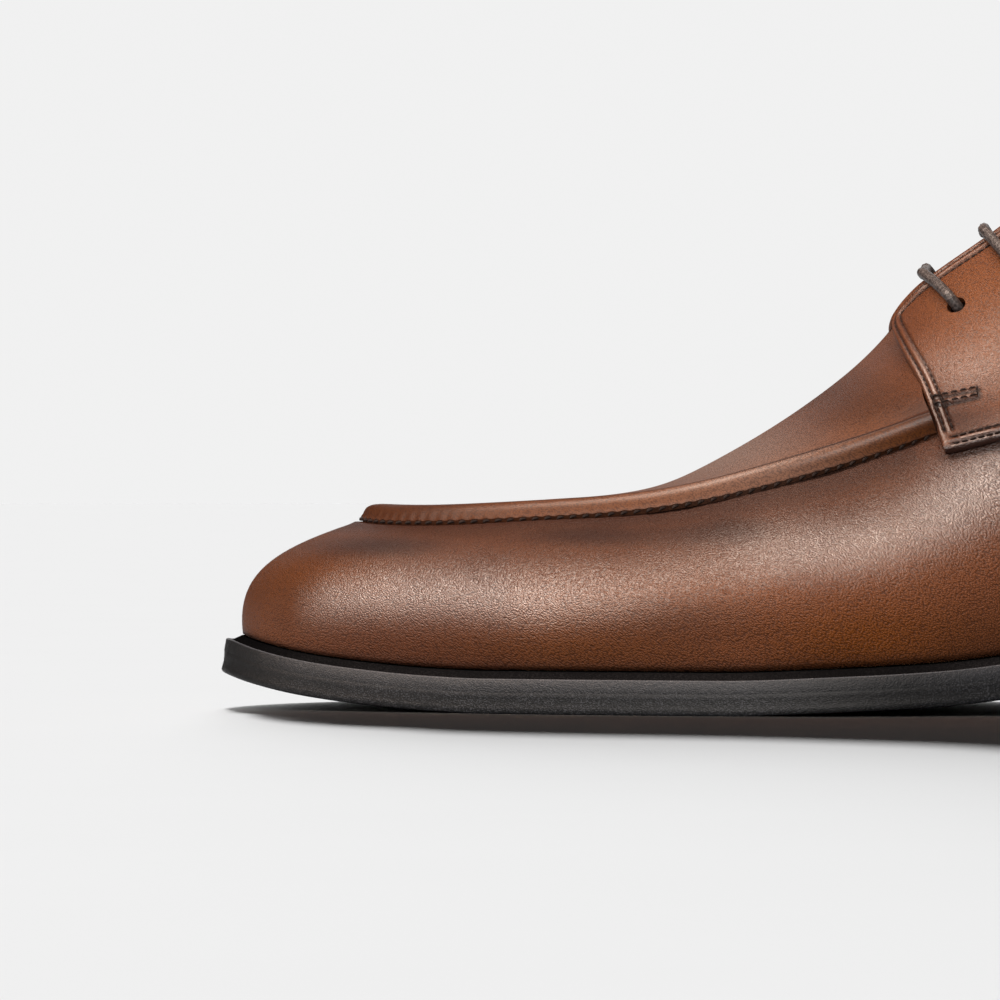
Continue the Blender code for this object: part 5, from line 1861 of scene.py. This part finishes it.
class ShoeSole(bpy.types.PropertyGroup):
    """Colours of welt, sole and heel."""

    # The welt's top and its flecks are painted darker than the edge, as shade under the upper
    welt_top_shaded: colour_setting("Welt top", "Sloping top of the welt", (0.004, 0.004, 0.0045))
    welt_top_shaded_fleck: colour_setting("Welt fleck", "Flecks on the top of the welt", (0.012, 0.012, 0.013))
    edge: colour_setting("Sole edge", "Edge of the outsole and heel", (0.005, 0.006, 0.0075))
    edge_fleck: colour_setting("Fleck", "Paler flecks in the sole edge", (0.036, 0.040, 0.048))
    scuff: colour_setting("Scuff", "Scuffed tread", (0.060, 0.052, 0.046))
    rubber: colour_setting("Rubber", "Top piece of the heel", (0.013, 0.013, 0.014))
    speck: length_setting("Fleck size", "Size of the flecks", 0.22)


class ShoeThread(bpy.types.PropertyGroup):
    """Stitches and laces."""

    colour: colour_setting("Thread", "Waxed thread of the seams", (0.011, 0.007, 0.006))
    width: length_setting("Thread width", "Thickness of the thread", 0.42)
    seam_width: length_setting("Seam thread width", "Thickness of the apron's thread", 0.60)
    row_pitch: length_setting("Stitch pitch", "Step from stitch to stitch", 1.55)
    row_length: length_setting("Stitch length", "Length of one stitch", 1.25)
    lace: colour_setting("Lace", "Strands of the lace", (0.018, 0.012, 0.011))
    lace_fleck: colour_setting("Lace fleck", "Pale flecks of the lace", (0.048, 0.037, 0.035))


class ShoeStage(bpy.types.PropertyGroup):
    """Camera, floor and light."""

    floor: colour_setting("Floor", "Studio floor", (0.800, 0.800, 0.800))
    backdrop: colour_setting("Backdrop", "What stands behind the floor", (0.877, 0.877, 0.877))
    sky: bpy.props.FloatProperty(name="Sky", description="Strength of the light from all around",
                                 default=0.03, min=0.0)
    floor_light: bpy.props.FloatProperty(name="Floor light", description="Strength of the floor's own light",
                                         default=10.84, min=0.0)
    floor_light_height: bpy.props.FloatProperty(name="Floor light height",
                                                description="Its height over the floor, behind the shoe",
                                                default=math.radians(18.0), subtype="ANGLE", unit="ROTATION")
    floor_light_turn: bpy.props.FloatProperty(name="Floor light turn",
                                              description="Its turn from straight behind to the toe",
                                              default=math.radians(5.0), subtype="ANGLE", unit="ROTATION")
    shoe_light: bpy.props.FloatProperty(name="Shoe light", description="Share of the softboxes' power",
                                        default=1.0, min=0.0)
    distance: bpy.props.FloatProperty(name="Distance", description="Camera to the middle of the shoe",
                                      default=1.1, subtype="DISTANCE", unit="LENGTH")
    aim: bpy.props.FloatVectorProperty(name="Aim", description="Point in the middle of the picture",
                                       default=(-0.098, 0.0, 0.039), size=3, subtype="TRANSLATION",
                                       unit="LENGTH")
    scale: bpy.props.FloatProperty(name="Scale", description="Share of the picture for one millimetre",
                                   default=0.0053, precision=5)


class SHOE_OT_upper(bpy.types.Operator):
    """Dress the upper: side wall, back and lining."""

    bl_idname = "shoe.upper"
    bl_label = "Upper"

    def execute(self, context):
        scene = context.scene
        looks = [leather_look("vamp_leather", scene.shoe_leather), lining_look(scene.shoe_leather)]
        upper = dress_upper(looks)
        cutter = hole_cutter()
        punch(upper, cutter)
        settle(upper)
        drop(cutter)
        return {"FINISHED"}


class SHOE_OT_apron(bpy.types.Operator):
    """Dress the apron with its sewn ridge and stitches."""

    bl_idname = "shoe.apron"
    bl_label = "Apron"

    def execute(self, context):
        scene = context.scene
        dress_apron(leather_look("apron_plug_leather", scene.shoe_leather))
        thread = thread_look("apron_thread", scene.shoe_thread.colour, SEAM_TWIST)
        joined("apron_stitches", apron_stitches(scene.shoe_thread), thread)
        return {"FINISHED"}


class SHOE_OT_quarters(bpy.types.Operator):
    """Dress the two lace quarters with their rows of stitches."""

    bl_idname = "shoe.quarters"
    bl_label = "Quarters"

    def execute(self, context):
        scene = context.scene
        leather = leather_look("quarter_leather", scene.shoe_leather)
        thread = thread_look("quarter_thread", scene.shoe_thread.colour, ROW_TWIST)
        cutter = hole_cutter()
        for name, medial in (("quarter_lateral", False), ("quarter_medial", True)):
            dress_quarter(name, medial, leather, cutter)
            joined(name + "_stitches", quarter_stitches(medial, scene.shoe_thread), thread)
        drop(cutter)
        return {"FINISHED"}


class SHOE_OT_inside(bpy.types.Operator):
    """Dress the tongue and the insole."""

    bl_idname = "shoe.inside"
    bl_label = "Tongue and insole"

    def execute(self, context):
        leather = context.scene.shoe_leather
        dress_tongue(leather_look("tongue_calf", leather))
        dress_insole(lining_look(leather))
        return {"FINISHED"}


class SHOE_OT_sole(bpy.types.Operator):
    """Dress welt, outsole, heel and top piece."""

    bl_idname = "shoe.sole"
    bl_label = "Sole and heel"

    def execute(self, context):
        sole = context.scene.shoe_sole
        speck = sole.speck / MM
        edge = edge_look("outsole_edge", sole.edge, sole.edge_fleck, speck, *OUTSOLE_FINISH)
        dress_welt([edge_look("welt_leather", sole.edge, sole.edge_fleck, speck, *WELT_FINISH),
                    edge_look("welt_top_shaded", sole.welt_top_shaded, sole.welt_top_shaded_fleck, speck, *WELT_TOP_FINISH)])
        dress_outsole([edge, sole_under_look(sole)])
        dress_heel([edge_look("heel_leather", sole.edge, sole.edge_fleck, speck, *HEEL_FINISH)])
        dress_top_piece(rubber_look(sole))
        return {"FINISHED"}


class SHOE_OT_laces(bpy.types.Operator):
    """Dress the lace bars."""

    bl_idname = "shoe.laces"
    bl_label = "Laces"

    def execute(self, context):
        dress_laces(lace_look(context.scene.shoe_thread))
        return {"FINISHED"}


class SHOE_OT_stage(bpy.types.Operator):
    """Set camera, floor, backdrop and light."""

    bl_idname = "shoe.stage"
    bl_label = "Stage"

    def execute(self, context):
        scene = context.scene
        stage = scene.shoe_stage
        set_floor(stage)
        set_camera(scene, stage)
        scene.view_settings.view_transform = "Standard"
        set_world(scene, stage)
        set_lights(stage)
        return {"FINISHED"}


def set_floor(stage):
    """A pale floor that runs out to the backdrop."""
    corners = [(x * FLOOR_REACH, y * FLOOR_REACH, 0.0) for x, y in ((-1, -1), (1, -1), (1, 1), (-1, 1))]
    mesh = bpy.data.meshes.new("studio_floor")
    mesh.from_pydata(corners, [], [(0, 1, 2, 3)])
    mesh.materials.append(floor_look(stage))
    floor = bpy.data.objects.new("studio_floor", mesh)
    group("studio").objects.link(floor)


def set_camera(scene, stage):
    """The camera: level, square to the shoe's outer side."""
    lens = bpy.data.cameras.new("shoe_camera")
    lens.sensor_width = SENSOR
    lens.lens = SENSOR * stage.scale * stage.distance / MM
    camera = bpy.data.objects.new("shoe_camera", lens)
    camera.location = Vector(stage.aim) - Vector((0.0, stage.distance, 0.0))
    camera.rotation_euler = (math.pi / 2.0, 0.0, 0.0)
    scene.collection.objects.link(camera)
    scene.camera = camera


def place_light(lamp, place, lit):
    """Set up a lamp that faces the shoe and lights one group."""
    holder = bpy.data.objects.new(lamp.name, lamp)
    holder.location = place
    holder.rotation_euler = (place - Vector(SHOE_MIDDLE)).to_track_quat("Z", "Y").to_euler()
    holder.visible_camera = False
    holder.light_linking.receiver_collection = lit
    bpy.context.scene.collection.objects.link(holder)


def set_world(scene, stage):
    """Even white light from all around, while the camera sees the backdrop's own tone."""
    world = bpy.data.worlds.new("studio_light")
    world.use_nodes = True
    sky = Nodes(world.node_tree)
    light = sky.tree.nodes["Background"]
    plug(sky.tree, light.inputs["Color"], WHITE)
    plug(sky.tree, light.inputs["Strength"], stage.sky)
    shown = sky.add("ShaderNodeBackground", None, {"Color": stage.backdrop})
    seen = sky.add("ShaderNodeLightPath", output="Is Camera Ray")
    both = sky.add("ShaderNodeMixShader", None, {0: seen, 1: Wire(sky.tree, light.outputs[0]), 2: shown})
    plug(sky.tree, sky.tree.nodes["World Output"].inputs["Surface"], both)
    scene.world = world


def set_lights(stage):
    """Lights from behind for the floor, and softboxes around the shoe for the leather's gloss."""
    high, turn = stage.floor_light_height, stage.floor_light_turn
    for row in rows_of(FLOOR_LIGHT_COLUMNS, FLOOR_LIGHT_ROWS):
        sun = bpy.data.lights.new(row["name"], "SUN")
        rise = high * row["height"]
        level = math.cos(rise)
        way = Vector((-level * math.sin(turn), level * math.cos(turn), math.sin(rise)))
        sun.energy = stage.floor_light * row["share"] * math.sin(high) / math.sin(rise)
        sun.angle = row["softness"]
        place_light(sun, Vector(SHOE_MIDDLE) + way, group("studio"))
    for box in rows_of(SOFTBOX_COLUMNS, SOFTBOX_ROWS):
        for place in np.linspace(box["first"], box["last"], box["count"]):
            lamp = bpy.data.lights.new(box["name"], "AREA")
            lamp.shape = "RECTANGLE"
            lamp.size = box["wide"]
            lamp.size_y = box["high"]
            lamp.energy = stage.shoe_light * box["power"]
            lamp.color = box["colour"]
            place_light(lamp, Vector(place), group("dressed_shoe"))


class SHOE_PT_panel(bpy.types.Panel):
    """Settings and operators of the shoe."""

    bl_idname = "SHOE_PT_panel"
    bl_label = "Leather lace-up shoe"
    bl_space_type = "VIEW_3D"
    bl_region_type = "UI"
    bl_category = "Shoe"

    def draw(self, context):
        for place in SETTINGS:
            box = self.layout.box()
            settings = getattr(context.scene, place)
            for name in settings.__annotations__:
                box.prop(settings, name)
        for operator in OPERATORS:
            self.layout.operator(operator.bl_idname)


SETTINGS = {
    "shoe_leather": ShoeLeather,
    "shoe_sole": ShoeSole,
    "shoe_thread": ShoeThread,
    "shoe_stage": ShoeStage,
}
OPERATORS = (SHOE_OT_upper, SHOE_OT_apron, SHOE_OT_quarters, SHOE_OT_inside, SHOE_OT_sole,
             SHOE_OT_laces, SHOE_OT_stage)


def register():
    """Register the settings, the operators and the panel."""
    for place, settings in SETTINGS.items():
        bpy.utils.register_class(settings)
        setattr(bpy.types.Scene, place, bpy.props.PointerProperty(type=settings))
    for each in (*OPERATORS, SHOE_PT_panel):
        bpy.utils.register_class(each)


def unregister():
    """Take them back."""
    for each in (SHOE_PT_panel, *reversed(OPERATORS)):
        bpy.utils.unregister_class(each)
    for place, settings in reversed(SETTINGS.items()):
        delattr(bpy.types.Scene, place)
        bpy.utils.unregister_class(settings)


def main():
    """Dress the shoe."""
    register()
    bpy.ops.shoe.upper()
    bpy.ops.shoe.apron()
    bpy.ops.shoe.quarters()
    bpy.ops.shoe.inside()
    bpy.ops.shoe.sole()
    bpy.ops.shoe.laces()
    bpy.ops.shoe.stage()


if __name__ == "__main__":
    main()
